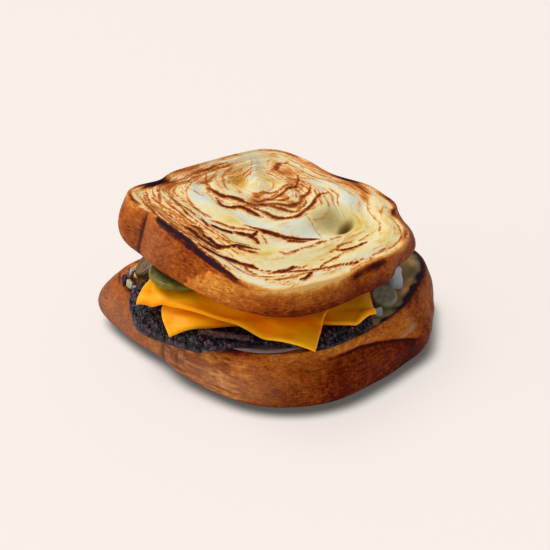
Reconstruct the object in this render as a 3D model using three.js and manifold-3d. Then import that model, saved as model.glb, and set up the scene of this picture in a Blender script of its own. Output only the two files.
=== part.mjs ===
// Smash burger croissant. Two thick griddled slices of a laminated swirl loaf hold a craggy smashed
// patty, two slices of melted cheese, pickle chips and onion.
//
// Millimetres, +Z up. X runs along the side where the cheese corners hang out, and Y runs away from
// that side. The origin is on the ground, in the middle of the sandwich's footprint.
// Plan positions below are on a working grid whose zero is FOOTPRINT_MIDDLE away from that origin.

import * as THREE from 'three';
import Module from 'manifold-3d';
import { mergeVertices } from 'three/addons/utils/BufferGeometryUtils.js';

const wasm = await Module();
wasm.setup();

const { degToRad, lerp, smoothstep } = THREE.MathUtils;

// Driving dimensions

const FOOTPRINT_MIDDLE = [4.98, -2.18];
const GAP = 0.3;

// A slice's outline is a rounded rectangle with bulges and hollows, each [degrees, height, width].
const BOTTOM = {
  thickness: 26,
  middle: [7.5, 3.5],
  rim: { halfWidth: 58.3, halfDepth: 61.5, lobes: [[-45, -6.5, 20], [40, -7.5, 20], [-140, 4.8, 12]] },
  belly: {
    halfWidth: 64.5,
    halfDepth: 65,
    lobes: [
      [-45, -6.5, 18], [24, 2.6, 12], [38, -8, 18], [48, -1.8, 8], [-143, 10, 12],
      [-106, -1.2, 10], [-92, 1.4, 12],
    ],
  },
  bellyDepth: 0.62,
  footInset: 6,
  // Where the foot is tucked further in, or less: [degrees, by how much, width].
  footTucks: [[-128, 12, 30], [-98, 1.8, 9], [0, -2, 10], [22, -1.5, 16]],
  creases: [{ degrees: -101, width: 4, depth: 1.1 }, { degrees: -92, width: 4, depth: 0.9 }],
  // Where two layers part along the wall: [degrees, depth down the wall as a share of it].
  seam: {
    path: [[-34, 0.1], [-30, 0.15], [-16, 0.17], [-6, 0.25], [3, 0.36], [14, 0.52]],
    width: 0.085,
    depth: 1.8,
    fullFrom: -16,
    fullTo: 8,
  },
};

const TOP = {
  middle: [11.5, -5],
  rim: {
    halfWidth: 50,
    halfDepth: 56.5,
    lobes: [
      [-55, 5.5, 14], [-20, 1.8, 12], [41, -3, 12], [56, -8, 12], [70, 1.8, 8], [86, 2.5, 8],
      [108, -5.5, 13], [124, -1.2, 7], [138, 1, 9], [-149, -3.5, 9], [-134, 2, 10], [-111, -4, 16],
    ],
  },
  bellyMiddle: [9.5, -6],
  belly: {
    halfWidth: 55.5,
    halfDepth: 58,
    lobes: [[-50, -2, 14], [27, -2, 9], [38, -6, 16], [-118, -3, 12]],
  },
  bellyDepth: 0.72,
  footInset: 5,
  crease: { degrees: -117, width: 5, depth: 1.4 },
  // Where a strip of crust has peeled: a low step that slants across the wall.
  peel: { degrees: -67, slant: -23, run: 26, height: 0.8 },
  face: { height: 64, fallX: 0.129, fallY: 0.12 },
  foot: { height: 44.4, fallX: 0.031, fallY: 0.094 },
};

const SQUARENESS = 4;

// The swirl on the top slice's cut face winds out from its core to the rim.
const SWIRL = { core: [-14, 8], turns: 4.5, ridge: 0.7, start: 0.12, lead: degToRad(40) };
const CORE_HOLLOW = { at: [-18, 3], long: 6.5, wide: 4, turned: degToRad(-45), depth: 2.4 };
const CORE_FLAP = { at: [-19, 13], long: 13, wide: 3, turned: degToRad(-40), height: 1.4 };
const AIR_POCKET = { at: [31, 14], long: 17, wide: 8, turned: degToRad(100), depth: 4.2 };

const PATTY = {
  middle: [8, -14],
  crown: 37.9,
  fallX: 0.018,
  fallFront: 0,
  fallBack: 0.1,
  dome: 3,
  restOn: 28.3,
  shoulder: 4,
  shoulderDrop: 2.2,
  crag: 0.8,
  thinnest: 2,
  dips: [
    { at: [32, -49], long: 24, wide: 11, turned: degToRad(42), depth: 5.6 },
    { at: [55, -19], long: 15, wide: 12, turned: degToRad(50), depth: 5 },
  ],
  // [degrees, radius, droop of the edge]
  edge: [
    [0, 56.5, 2.2], [10, 57.5, 2.2], [19, 52, 2.2], [28, 47.5, 2], [45, 46.5, 2], [90, 50, 2],
    [135, 52, 2], [175, 50, 2], [200, 44, 2], [214, 41.5, 2], [224, 46, 2], [231, 55.5, 3.5],
    [240, 57.5, 5], [252, 58.5, 5.6],
    [270, 54, 5.6], [288, 52.5, 4.4], [302, 51.5, 2.4], [315, 48, 0], [327, 51, 0.4], [338, 55, 2.2],
  ],
};

const CHEESE_THICKNESS = 2.4;
const CHEESE_FALL = 1.1;
const CHEESE_CLEARANCE = 1.8;
// A sheet's corner lifts are [side along, side across, rise, reach]; its bow is how its left edge bulges.
const CHEESE_LOWER = {
  middle: [9.3, -9.4],
  along: 84,
  across: 84,
  turned: degToRad(47),
  lifts: [[-1, -1, -2.5, 16], [1, -1, 7.8, 8.5]],
  humps: [{ at: [20, -58], long: 7, wide: 6, turned: 0, height: -1.5 }],
  bow: 4.5,
};
const CHEESE_UPPER = {
  middle: [9.4, -17.4],
  along: 77,
  across: 82,
  turned: degToRad(26),
  lifts: [[-1, -1, 4, 15]],
  humps: [
    { at: [-16, -56], long: 15, wide: 8, turned: degToRad(116), height: 3.4 },
    { at: [57, -24], long: 9, wide: 9, turned: 0, height: 1.8 },
  ],
  bow: 0,
};

const ONION_SLICE = { middle: [25.8, -27.2], radius: 30, thickness: 1.6, rings: 4 };

// A leaning piece tips down toward a plan direction in degrees.
const PICKLE_RIM = 1.1;
const PICKLES = [
  { name: 'pickle_front', at: [-1.6, -52.9, 46.95], radius: 12.4, thickness: 2.9, lean: 4, toward: 40 },
  { name: 'pickle_left', at: [-35.2, -38, 34.1], radius: 9.5, thickness: 3.2, lean: 40, toward: -133 },
  { name: 'pickle_right', at: [56.6, 13.7, 30.4], radius: 5.9, thickness: 3.2, lean: 20, toward: -47 },
];

// Onion petals are short pieces of a ring that stand on edge.
const PETALS = [
  { name: 'onion_petal_right', at: [53.1, 26.6, 27.2], radius: 9, round: 50, wall: 2, height: 10,
    turn: -30, lean: 16, toward: 150 },
  { name: 'onion_bit_right', at: [62, 4.2, 26.9], radius: 6, round: 40, wall: 1.8, height: 4.2,
    turn: -20, lean: 12, toward: 160 },
  { name: 'onion_bit_left_1', at: [-41.2, -45.4, 26.9], radius: 6, round: 34, wall: 1.8, height: 3.6,
    turn: -130, lean: 14, toward: 50 },
  { name: 'onion_bit_left_2', at: [-34.8, -52.3, 26.9], radius: 6, round: 42, wall: 1.8, height: 3,
    turn: -100, lean: 14, toward: 80 },
  { name: 'onion_bit_left_3', at: [-29.6, -54.2, 26.9], radius: 5, round: 40, wall: 1.8, height: 3.4,
    turn: -120, lean: 10, toward: 60 },
];
const GRILLED_BIT = {
  name: 'grilled_bit_left',
  at: [-40.6, -50.6, 26.9],
  radius: 9,
  round: 46,
  wall: 2,
  height: 2.2,
  turn: -140,
  lean: 8,
  toward: 40,
};

// Strips of grilled onion on the patty's shoulder: the plan ends of each and how far its middle bows.
const GRILLED_STRIPS = {
  radius: 1.1,
  clearance: 1.1,
  ends: [
    [[20.8, -63.4], [31.4, -58], 0.8], [[23, -61], [34, -55.6], -0.6], [[26.8, -60.4], [37.4, -54.2], 0.8],
    [[29.4, -57.4], [39.4, -52.2], -0.6], [[27.2, -61.2], [33.4, -54.6], 0.4],
  ],
};

// Shared shape functions

// Smooth random relief from -1 to 1, the same on every run.
function randomRelief(seed) {
  const corner = (x, y, z) => {
    let hash = Math.imul(x, 374761393) ^ Math.imul(y, 668265263) ^ Math.imul(z, 1440662683) ^ seed;
    hash = Math.imul(hash ^ (hash >>> 13), 1274126177);
    return ((hash ^ (hash >>> 16)) >>> 0) / 2147483648 - 1;
  };
  const ease = (t) => t * t * (3 - 2 * t);
  return (x, y, z) => {
    const [i, j, k] = [Math.floor(x), Math.floor(y), Math.floor(z)];
    const [u, v, w] = [ease(x - i), ease(y - j), ease(z - k)];
    const edge = (b, c) => lerp(corner(i, j + b, k + c), corner(i + 1, j + b, k + c), u);
    return lerp(lerp(edge(0, 0), edge(1, 0), v), lerp(edge(0, 1), edge(1, 1), v), w);
  };
}

// The difference between two angles, from -PI to PI.
function turnBetween(a, b) {
  return THREE.MathUtils.euclideanModulo(a - b + Math.PI, 2 * Math.PI) - Math.PI;
}

// The point of a bread outline at an angle: a rounded rectangle with its lobes.
function breadOutline({ halfWidth, halfDepth, lobes }, [x, y], angle) {
  const c = Math.abs(Math.cos(angle)) / halfWidth;
  const s = Math.abs(Math.sin(angle)) / halfDepth;
  let radius = (c ** SQUARENESS + s ** SQUARENESS) ** (-1 / SQUARENESS);
  for (const [degrees, height, width] of lobes) {
    const off = turnBetween(angle, degToRad(degrees)) / degToRad(width);
    radius += height * Math.exp(-off * off);
  }
  return new THREE.Vector2(x + radius * Math.cos(angle), y + radius * Math.sin(angle));
}

// A smooth closed curve of numbers through knots that start with an angle in degrees.
function throughKnots(knots, column, angle) {
  const degrees = THREE.MathUtils.euclideanModulo(THREE.MathUtils.radToDeg(angle), 360);
  const count = knots.length;
  const at = (i) => {
    const knot = knots[(i + count) % count];
    return [knot[0] + 360 * Math.floor(i / count), knot[column]];
  };
  let i = count - 1;
  while (knots[i][0] > degrees) i -= 1;
  const [before, here, next, after] = [at(i - 1), at(i), at(i + 1), at(i + 2)];
  const span = next[0] - here[0];
  const slopeHere = ((next[1] - before[1]) / (next[0] - before[0])) * span;
  const slopeNext = ((after[1] - here[1]) / (after[0] - here[0])) * span;
  const t = (degrees - here[0]) / span;
  return here[1] * (2 * t ** 3 - 3 * t * t + 1) + slopeHere * (t ** 3 - 2 * t * t + t)
    + next[1] * (3 * t * t - 2 * t ** 3) + slopeNext * (t ** 3 - t * t);
}

// How far inside an oval mound a point is: 1 in its middle, falling smoothly to 0 outside.
function mound({ at, long, wide, turned }, x, y) {
  const dx = x - at[0];
  const dy = y - at[1];
  const u = (dx * Math.cos(turned) + dy * Math.sin(turned)) / long;
  const v = (-dx * Math.sin(turned) + dy * Math.cos(turned)) / wide;
  return Math.exp(-(u * u + v * v));
}

// A closed mesh with one vertex at each corner and no empty triangle.
function closed(geometry) {
  geometry.deleteAttribute('normal');
  geometry.deleteAttribute('uv');
  const merged = mergeVertices(geometry, 1e-4);
  const corners = merged.getIndex().array;
  const kept = [];
  for (let i = 0; i < corners.length; i += 3) {
    const [a, b, c] = [corners[i], corners[i + 1], corners[i + 2]];
    if (a !== b && b !== c && c !== a) kept.push(a, b, c);
  }
  merged.setIndex(kept);
  merged.computeVertexNormals();
  return merged;
}

// Moves every vertex of a geometry to where place(x, y, z) puts it.
function reshape(geometry, place) {
  const position = geometry.getAttribute('position');
  for (let i = 0; i < position.count; i += 1) {
    const point = place(position.getX(i), position.getY(i), position.getZ(i));
    position.setXYZ(i, ...point);
  }
  return closed(geometry);
}

// Even steps from just above 0 to 1.
const evenly = (count) => Array.from({ length: count }, (_, i) => (i + 1) / count);

// A drum of unit radius and unit height, turned on a lathe and stood along Z. Its underside and its
// face are ringed at the radii listed, the last of which is 1.
function drum(segments, underRings, wallSteps, faceRings) {
  const profile = [new THREE.Vector2(0, 0)];
  for (const radius of underRings) profile.push(new THREE.Vector2(radius, 0));
  for (let i = 1; i < wallSteps; i += 1) profile.push(new THREE.Vector2(1, i / wallSteps));
  for (const radius of [...faceRings].reverse()) profile.push(new THREE.Vector2(radius, 1));
  profile.push(new THREE.Vector2(0, 1));
  return new THREE.LatheGeometry(profile, segments).rotateX(Math.PI / 2);
}

// Joins closed geometries that overlap into one closed body.
function joined(geometries) {
  const solids = geometries.map((geometry) => {
    const clean = closed(geometry);
    return new wasm.Manifold(new wasm.Mesh({
      numProp: 3,
      vertProperties: clean.getAttribute('position').array,
      triVerts: Uint32Array.from(clean.getIndex().array),
    }));
  });
  const mesh = solids.reduce((whole, solid) => whole.add(solid)).getMesh();
  const result = new THREE.BufferGeometry();
  result.setAttribute('position', new THREE.BufferAttribute(mesh.vertProperties, 3));
  result.setIndex(new THREE.BufferAttribute(mesh.triVerts, 1));
  result.computeVertexNormals();
  return result;
}

// The bread

const planeHeight = ({ height, fallX, fallY }, x, y) => height - fallX * x - fallY * y;

// How deep a crease that runs down the wall cuts into it.
function creaseDent({ degrees, width, depth: cut }, angle, depth) {
  const off = turnBetween(angle, degToRad(degrees)) / degToRad(width);
  return cut * Math.exp(-off * off) * Math.sin(Math.PI * Math.min(depth + 0.12, 1));
}

// How deep the groove between two layers cuts, and how far the layer above it swells.
function seamDent({ path, width, depth: cut, fullFrom, fullTo }, angle, depth) {
  const degrees = THREE.MathUtils.radToDeg(turnBetween(angle, 0));
  const next = path.findIndex(([at]) => at > degrees);
  if (next < 1) return 0;
  const [[from, high], [to, low]] = [path[next - 1], path[next]];
  const off = (depth - lerp(high, low, (degrees - from) / (to - from))) / width;
  const fade = smoothstep(degrees, path[0][0], fullFrom) * (1 - smoothstep(degrees, fullTo, path.at(-1)[0]));
  const swell = 0.5 * Math.exp(-((off + 2) ** 2) / 2);
  return cut * fade * (Math.exp(-off * off) - swell) * Math.min(1, depth * 12);
}

// The low step at the edge of peeled crust.
function peelStep({ degrees, slant, run, height }, angle, depth) {
  const past = THREE.MathUtils.radToDeg(turnBetween(angle, degToRad(degrees + slant * depth)));
  return height * smoothstep(past, -2.5, 2.5) * (1 - smoothstep(past, 5, run)) * Math.sin(Math.PI * depth);
}

// A bread slice: its cut face, its bulging crust wall and its underside, from a unit drum.
function breadSlice({ segments, faceRings, wallSteps, underRings, core, rim, belly, bellyDepth, footInset,
  faceHeight, footHeight, relief, dent }) {
  const wallPoint = (angle, depth) => {
    const out = Math.sin((Math.min(depth / bellyDepth, 1) * Math.PI) / 2);
    const point = rim(angle).lerp(belly(angle), out);
    const under = Math.max(depth - bellyDepth, 0) / (1 - bellyDepth);
    const inset = footInset(angle) * (1 - Math.sqrt(1 - under * under)) + dent(angle, depth);
    const length = point.distanceTo(core);
    return point.sub(core).multiplyScalar(1 - inset / length).add(core);
  };
  return reshape(drum(segments, underRings, wallSteps, faceRings), (ux, uy, height) => {
    const angle = Math.atan2(uy, ux);
    const out = Math.hypot(ux, uy);
    const depth = 1 - height;
    const edge = wallPoint(angle, depth);
    const onFace = depth < 1e-6;
    const onWall = out > 1 - 1e-6 && !onFace && height > 1e-6;
    const point = onWall ? edge : edge.clone().sub(core).multiplyScalar(out).add(core);
    const top = faceHeight(point.x, point.y);
    const low = footHeight(point.x, point.y);
    const lift = onFace ? relief(angle, out, point) : 0;
    return [point.x, point.y, lerp(top, low, depth) + lift];
  });
}

function bottomSlice() {
  return breadSlice({
    segments: 76,
    faceRings: evenly(3),
    wallSteps: 12,
    underRings: evenly(2),
    core: new THREE.Vector2(...BOTTOM.middle),
    rim: (angle) => breadOutline(BOTTOM.rim, BOTTOM.middle, angle),
    belly: (angle) => breadOutline(BOTTOM.belly, BOTTOM.middle, angle),
    bellyDepth: BOTTOM.bellyDepth,
    footInset: (angle) => BOTTOM.footTucks.reduce((inset, [degrees, extra, width]) => {
      const off = turnBetween(angle, degToRad(degrees)) / degToRad(width);
      return inset + extra * Math.exp(-off * off);
    }, BOTTOM.footInset),
    faceHeight: () => BOTTOM.thickness,
    footHeight: () => 0,
    relief: () => 0,
    dent: (angle, depth) => BOTTOM.creases.reduce((sum, one) => sum + creaseDent(one, angle, depth), 0)
      + seamDent(BOTTOM.seam, angle, depth),
  });
}

function swirlRelief(angle, out, { x, y }) {
  const wound = SWIRL.turns * out + (angle - SWIRL.lead) / (2 * Math.PI);
  const fade = smoothstep(out, 0, SWIRL.start) * (1 - smoothstep(out, 0.92, 1));
  const ridges = SWIRL.ridge * Math.cos(2 * Math.PI * wound) * fade;
  return ridges - CORE_HOLLOW.depth * mound(CORE_HOLLOW, x, y) + CORE_FLAP.height * mound(CORE_FLAP, x, y)
    - AIR_POCKET.depth * mound(AIR_POCKET, x, y);
}

function topSlice() {
  return breadSlice({
    segments: 80,
    faceRings: evenly(19),
    wallSteps: 9,
    underRings: evenly(2),
    core: new THREE.Vector2(...SWIRL.core),
    rim: (angle) => breadOutline(TOP.rim, TOP.middle, angle),
    belly: (angle) => breadOutline(TOP.belly, TOP.bellyMiddle, angle),
    bellyDepth: TOP.bellyDepth,
    footInset: () => TOP.footInset,
    faceHeight: (x, y) => planeHeight(TOP.face, x, y),
    footHeight: (x, y) => planeHeight(TOP.foot, x, y),
    relief: swirlRelief,
    dent: (angle, depth) => creaseDent(TOP.crease, angle, depth) - peelStep(TOP.peel, angle, depth),
  });
}

// The patty

const pattyCrags = randomRelief(7);

// How far a plan point lies inside the patty's edge, along the line to its middle.
function insidePatty(x, y) {
  const dx = x - PATTY.middle[0];
  const dy = y - PATTY.middle[1];
  return throughKnots(PATTY.edge, 1, Math.atan2(dy, dx)) - Math.hypot(dx, dy);
}

// The height of the patty's broad top, without its crags and its rounded shoulder.
function pattyCrown(x, y) {
  const dx = x - PATTY.middle[0];
  const dy = y - PATTY.middle[1];
  const out = Math.hypot(dx, dy) / 54;
  const dips = PATTY.dips.reduce((sum, dip) => sum + dip.depth * mound(dip, x, y), 0);
  const fallY = dy < 0 ? PATTY.fallFront : PATTY.fallBack;
  return PATTY.crown - PATTY.fallX * dx - fallY * dy - PATTY.dome * out * out - dips;
}

// How low the patty can hang: onto the onion slice, onto the bread, or down past its rim.
function supportBelow(x, y) {
  const [midX, midY] = BOTTOM.middle;
  const rim = breadOutline(BOTTOM.rim, BOTTOM.middle, Math.atan2(y - midY, x - midX));
  const beyond = Math.hypot(x - midX, y - midY) - Math.hypot(rim.x - midX, rim.y - midY);
  const bread = BOTTOM.thickness + GAP - Math.max(beyond - 1.4, 0);
  const pastOnion = Math.hypot(x - ONION_SLICE.middle[0], y - ONION_SLICE.middle[1]) - ONION_SLICE.radius - 2;
  return Math.max(bread, PATTY.restOn - 0.8 * Math.max(pastOnion, 0));
}

// The height of the patty's top with its rounded shoulder.
function pattyTop(x, y, inside) {
  return pattyCrown(x, y) - PATTY.shoulderDrop * (1 - smoothstep(inside, PATTY.shoulder, PATTY.shoulder + 5));
}

function patty() {
  const round = drum(64, [0.5, 0.8, 0.9, 1], 5, [0.2, 0.4, 0.6, 0.75, 0.86, 0.94, 1]);
  return reshape(round, (ux, uy, height) => {
    const angle = Math.atan2(uy, ux);
    const out = Math.hypot(ux, uy);
    const edge = throughKnots(PATTY.edge, 1, angle);
    const droop = throughKnots(PATTY.edge, 2, angle);
    const inset = PATTY.shoulder * height ** 3;
    const radius = (edge - inset) * out;
    let x = PATTY.middle[0] + radius * Math.cos(angle);
    let y = PATTY.middle[1] + radius * Math.sin(angle);
    const low = Math.max(PATTY.restOn - droop * smoothstep(radius, edge - 6, edge), supportBelow(x, y));
    const high = Math.max(pattyTop(x, y, edge - radius), low + PATTY.thinnest);
    let z = lerp(low, high, height);
    const bare = 1 - smoothstep(edge - radius, 8, 13);
    const rough = PATTY.crag * bare * pattyCrags(x / 4, y / 4, z / 4);
    if (height > 1e-6) {
      const side = out > 1 - 1e-6 ? 1.3 : 0.4;
      x += rough * side * Math.cos(angle);
      y += rough * side * Math.sin(angle);
      z += height > 1 - 1e-6 ? rough * 0.6 : 0;
    }
    return [x, y, z];
  });
}

// The cheese

// The lie of a sheet laid on the patty: flat on its top, then hanging down past its edge.
function draped(x, y, slope, soft) {
  const past = 1.5 - insidePatty(x, y);
  const fall = slope * soft * Math.log(1 + Math.exp(past / soft));
  return pattyCrown(x, y) + CHEESE_CLEARANCE - fall;
}

// A plan point in a slice's own axes, from its middle.
function inSheet({ middle, turned }, x, y) {
  const dx = x - middle[0];
  const dy = y - middle[1];
  return [dx * Math.cos(turned) + dy * Math.sin(turned), -dx * Math.sin(turned) + dy * Math.cos(turned)];
}

// How much a sheet's corners and humps rise or hang beyond its plain drape.
function sheetLift(sheet, x, y) {
  const [u, v] = inSheet(sheet, x, y);
  const corners = sheet.lifts.reduce((sum, [sideU, sideV, rise, reach]) => {
    const away = Math.hypot(u - (sideU * sheet.along) / 2, v - (sideV * sheet.across) / 2);
    return sum + rise * (1 - smoothstep(away, 0, reach));
  }, 0);
  return sheet.humps.reduce((sum, hump) => sum + hump.height * mound(hump, x, y), corners);
}

// The lie of a sheet where it reaches past the patty and settles on the bread.
function settled(height) {
  const floor = BOTTOM.thickness + 2 * GAP;
  return height + Math.log(1 + Math.exp(floor - height));
}

function lowerSheetHeight(x, y) {
  return settled(draped(x, y, CHEESE_FALL, 3)) + sheetLift(CHEESE_LOWER, x, y);
}

function upperSheetHeight(x, y) {
  const [u, v] = inSheet(CHEESE_LOWER, x, y);
  const past = Math.max(Math.abs(u) - CHEESE_LOWER.along / 2, Math.abs(v) - CHEESE_LOWER.across / 2);
  const lie = (atX, atY) => settled(draped(atX, atY, CHEESE_FALL, 3));
  const steepness = Math.hypot(1, lie(x + 1, y) - lie(x, y), lie(x, y + 1) - lie(x, y));
  const step = (CHEESE_THICKNESS * steepness + 3 * GAP) * (1 - smoothstep(past, 3, 9));
  return lie(x, y) + step + sheetLift(CHEESE_UPPER, x, y);
}

// A slice of cheese: a thin square plate bent over what carries it.
function cheeseSlice(sheet, height) {
  const cells = 13;
  const plate = new THREE.BoxGeometry(sheet.along, sheet.across, CHEESE_THICKNESS, cells, cells, 1);
  const position = plate.getAttribute('position');
  for (let i = 0; i < position.count; i += 1) {
    const [u, v] = [position.getX(i), position.getY(i)];
    const near = (v + sheet.across / 2 - 9) / 8;
    const push = sheet.bow * Math.exp(-near * near) * (1 - smoothstep(u, -sheet.along / 2, 0));
    position.setX(i, u - push);
  }
  plate.rotateZ(sheet.turned).translate(...sheet.middle, CHEESE_THICKNESS / 2);
  const step = 0.5;
  return reshape(plate, (x, y, z) => {
    const slopeX = (height(x + step, y) - height(x - step, y)) / (2 * step);
    const slopeY = (height(x, y + step) - height(x, y - step)) / (2 * step);
    const up = new THREE.Vector3(-slopeX, -slopeY, 1).normalize();
    return [x + up.x * z, y + up.y * z, height(x, y) + up.z * z];
  });
}

// Onion and pickles

// A thin slice of onion: its layers are low rings.
function onionSlice() {
  const { radius, thickness, rings } = ONION_SLICE;
  const profile = [
    new THREE.Vector2(0, 0),
    new THREE.Vector2(radius - 0.5, 0),
    new THREE.Vector2(radius, thickness / 2),
  ];
  for (let i = rings; i > 0; i -= 1) {
    profile.push(new THREE.Vector2((radius * i) / rings - 0.6, thickness));
    profile.push(new THREE.Vector2((radius * (i - 0.5)) / rings, thickness - 0.5));
  }
  profile.push(new THREE.Vector2(0, thickness));
  return closed(new THREE.LatheGeometry(profile, 36).rotateX(Math.PI / 2));
}

// A pickle chip: a round slice with a bevelled skin and a slightly hollow middle.
function pickleChip(radius, thickness) {
  const rim = PICKLE_RIM;
  const half = thickness / 2;
  const profile = [
    new THREE.Vector2(0, -half + 0.5),
    new THREE.Vector2(radius * 0.55, -half + 0.3),
    new THREE.Vector2(radius - rim, -half),
    new THREE.Vector2(radius, -half + rim * 0.6),
    new THREE.Vector2(radius, half - rim * 0.6),
    new THREE.Vector2(radius - rim, half),
    new THREE.Vector2(radius * 0.55, half - 0.3),
    new THREE.Vector2(0, half - 0.5),
  ];
  return closed(new THREE.LatheGeometry(profile, 26).rotateX(Math.PI / 2));
}

// A piece of an onion's ring, standing on its lower edge.
function onionPetal({ radius, round, wall, height, turn }) {
  const half = degToRad(round / 2);
  const outline = new THREE.Shape();
  outline.absarc(0, 0, radius, -half, half, false);
  outline.absarc(0, 0, radius - wall, half, -half, true);
  const petal = new THREE.ExtrudeGeometry(outline, { depth: height, bevelEnabled: false, curveSegments: 4 });
  return closed(petal.translate(wall / 2 - radius, 0, 0).rotateZ(degToRad(turn)));
}

// Strips of onion lying across each other, joined where they cross.
function grilledStrips({ radius, clearance, ends }) {
  const round = new THREE.Shape();
  round.absarc(0, 0, radius, 0, 2 * Math.PI, false);
  return joined(ends.map(([[x1, y1], [x2, y2], bow]) => {
    const points = evenly(5).map((share) => {
      const bowed = 4 * bow * share * (1 - share);
      const x = lerp(x1, x2, share) - bowed * 0.5;
      const y = lerp(y1, y2, share) + bowed * 0.87;
      const top = Math.max(pattyTop(x, y, insidePatty(x, y)), PATTY.restOn + PATTY.thinnest);
      return new THREE.Vector3(x, y, top + radius + clearance);
    });
    return new THREE.ExtrudeGeometry(round, {
      steps: 5,
      curveSegments: 3,
      bevelEnabled: false,
      extrudePath: new THREE.CatmullRomCurve3(points),
    });
  }));
}

// Materials and assembly

const finish = (color, roughness) => new THREE.MeshStandardMaterial({ color, roughness, metalness: 0 });

const sandwich = new THREE.Group();
sandwich.position.set(-FOOTPRINT_MIDDLE[0], -FOOTPRINT_MIDDLE[1], 0);

function add(name, geometry, material, at = [0, 0, 0]) {
  const mesh = new THREE.Mesh(geometry, material);
  mesh.name = name;
  mesh.position.set(...at);
  sandwich.add(mesh);
}

// Tips a geometry about its origin so that the side facing a direction goes down.
function leant(geometry, { lean, toward }) {
  return geometry.rotateZ(-degToRad(toward)).rotateY(degToRad(lean)).rotateZ(degToRad(toward));
}

const bread = finish(0xb06a30, 0.6);
const meat = finish(0x3a2420, 0.7);
const cheese = finish(0xfba80c, 0.4);
const pickle = finish(0x6a6420, 0.35);
const onion = finish(0xe4e2da, 0.35);
const grilled = finish(0x5a3a34, 0.5);

add('bottom_slice', bottomSlice(), bread);
add('onion_slice', onionSlice(), onion, [...ONION_SLICE.middle, BOTTOM.thickness + GAP]);
add('patty', patty(), meat);
add('cheese_lower', cheeseSlice(CHEESE_LOWER, lowerSheetHeight), cheese);
add('cheese_upper', cheeseSlice(CHEESE_UPPER, upperSheetHeight), cheese);
add('top_slice', topSlice(), bread);
add('grilled_onions', grilledStrips(GRILLED_STRIPS), grilled);
for (const chip of PICKLES) {
  add(chip.name, leant(pickleChip(chip.radius, chip.thickness), chip), pickle, chip.at);
}
for (const petal of PETALS) {
  add(petal.name, leant(onionPetal(petal), petal), onion, petal.at);
}
add(GRILLED_BIT.name, leant(onionPetal(GRILLED_BIT), GRILLED_BIT), grilled, GRILLED_BIT.at);

export default sandwich;
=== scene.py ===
# %% [markdown]
# # A smash burger between two slices of griddled swirl bread
# The sandwich is soft and uneven everywhere, so its pieces are grown from a few rules instead of being
# sculpted: rings of points that follow an outline, with relief and colour marks worked out for every
# point. This keeps each piece exactly where its solid lies, and gives it the fine detail of real food.

# %% Load the frame
import math

import bpy
import numpy as np
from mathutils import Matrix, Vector


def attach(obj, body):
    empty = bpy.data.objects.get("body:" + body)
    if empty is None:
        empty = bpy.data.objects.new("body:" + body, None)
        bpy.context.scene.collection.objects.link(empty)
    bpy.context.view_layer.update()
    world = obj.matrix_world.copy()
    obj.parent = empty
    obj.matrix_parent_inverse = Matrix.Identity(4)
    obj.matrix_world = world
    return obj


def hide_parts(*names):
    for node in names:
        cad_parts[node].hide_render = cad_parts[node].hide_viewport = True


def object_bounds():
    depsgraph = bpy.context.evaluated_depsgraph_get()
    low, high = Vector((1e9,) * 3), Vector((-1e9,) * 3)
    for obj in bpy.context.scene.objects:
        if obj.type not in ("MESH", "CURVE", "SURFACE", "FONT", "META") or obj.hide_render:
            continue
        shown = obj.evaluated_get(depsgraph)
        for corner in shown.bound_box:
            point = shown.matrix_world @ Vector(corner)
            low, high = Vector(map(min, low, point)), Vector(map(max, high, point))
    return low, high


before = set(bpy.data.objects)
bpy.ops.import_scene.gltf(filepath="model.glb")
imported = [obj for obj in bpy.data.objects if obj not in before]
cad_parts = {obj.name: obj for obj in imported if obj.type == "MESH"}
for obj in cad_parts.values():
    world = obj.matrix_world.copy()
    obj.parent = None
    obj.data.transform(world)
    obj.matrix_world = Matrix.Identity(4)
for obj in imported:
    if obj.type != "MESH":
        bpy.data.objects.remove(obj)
cad_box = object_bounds()
far_corner = [round(v * 1000, 1) for v in cad_box[1]]
print("frame:", len(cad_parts), "nodes,", far_corner, "mm at its far corner")

# %% [markdown]
# ## Sizes
# All sizes are millimetres on a working grid, the same one that the solids use. Its zero lies a little
# away from the middle of the sandwich's footprint, and `on_ground` takes points from the grid to metres.
# A slice has one outline at its rim and a wider one at its belly. Each is (half width, half depth, lobes),
# and a lobe is (direction in degrees, how far it stands out, half width in degrees). A cut face is
# (height at the grid's zero, fall along x, fall along y). A crease is (direction, half width in
# degrees, depth), the seam runs through (direction, share down the wall), and the edge of peeled crust
# is (direction, slant in degrees, run in degrees, height). The rings of a slice lie across its
# underside, up its wall and across its face.

# %% Sizes
FOOTPRINT_MIDDLE = np.array([4.98, -2.18, 0.0])
SQUARENESS = 4
POINTS_AROUND = 540
LOW_THICKNESS = 26

BOTTOM = {
    "middle": (7.5, 3.5),
    "rim": (58.3, 61.5, [(-45, -6.5, 20), (40, -7.5, 20), (-140, 4.8, 12)]),
    "belly_middle": (7.5, 3.5),
    "belly": (64.5, 65, [(-45, -6.5, 18), (24, 2.6, 12), (38, -8, 18), (48, -1.8, 8), (-143, 10, 12),
                         (-106, -1.2, 10), (-92, 1.4, 12)]),
    "belly_depth": 0.62,
    "foot_inset": 6,
    "foot_tucks": [(-128, 12, 30), (-98, 1.8, 9), (0, -2, 10), (22, -1.5, 16)],
    "creases": [(-101, 4, 1.1), (-92, 4, 0.9)],
    "seam": [(-34, 0.1), (-30, 0.15), (-16, 0.17), (-6, 0.25), (3, 0.36), (14, 0.52)],
    "seam_width": 0.085,
    "seam_depth": 1.8,
    "face": (LOW_THICKNESS, 0, 0),
    "foot": (0, 0, 0),
    "rings": (24, 56, 90),
}
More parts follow.
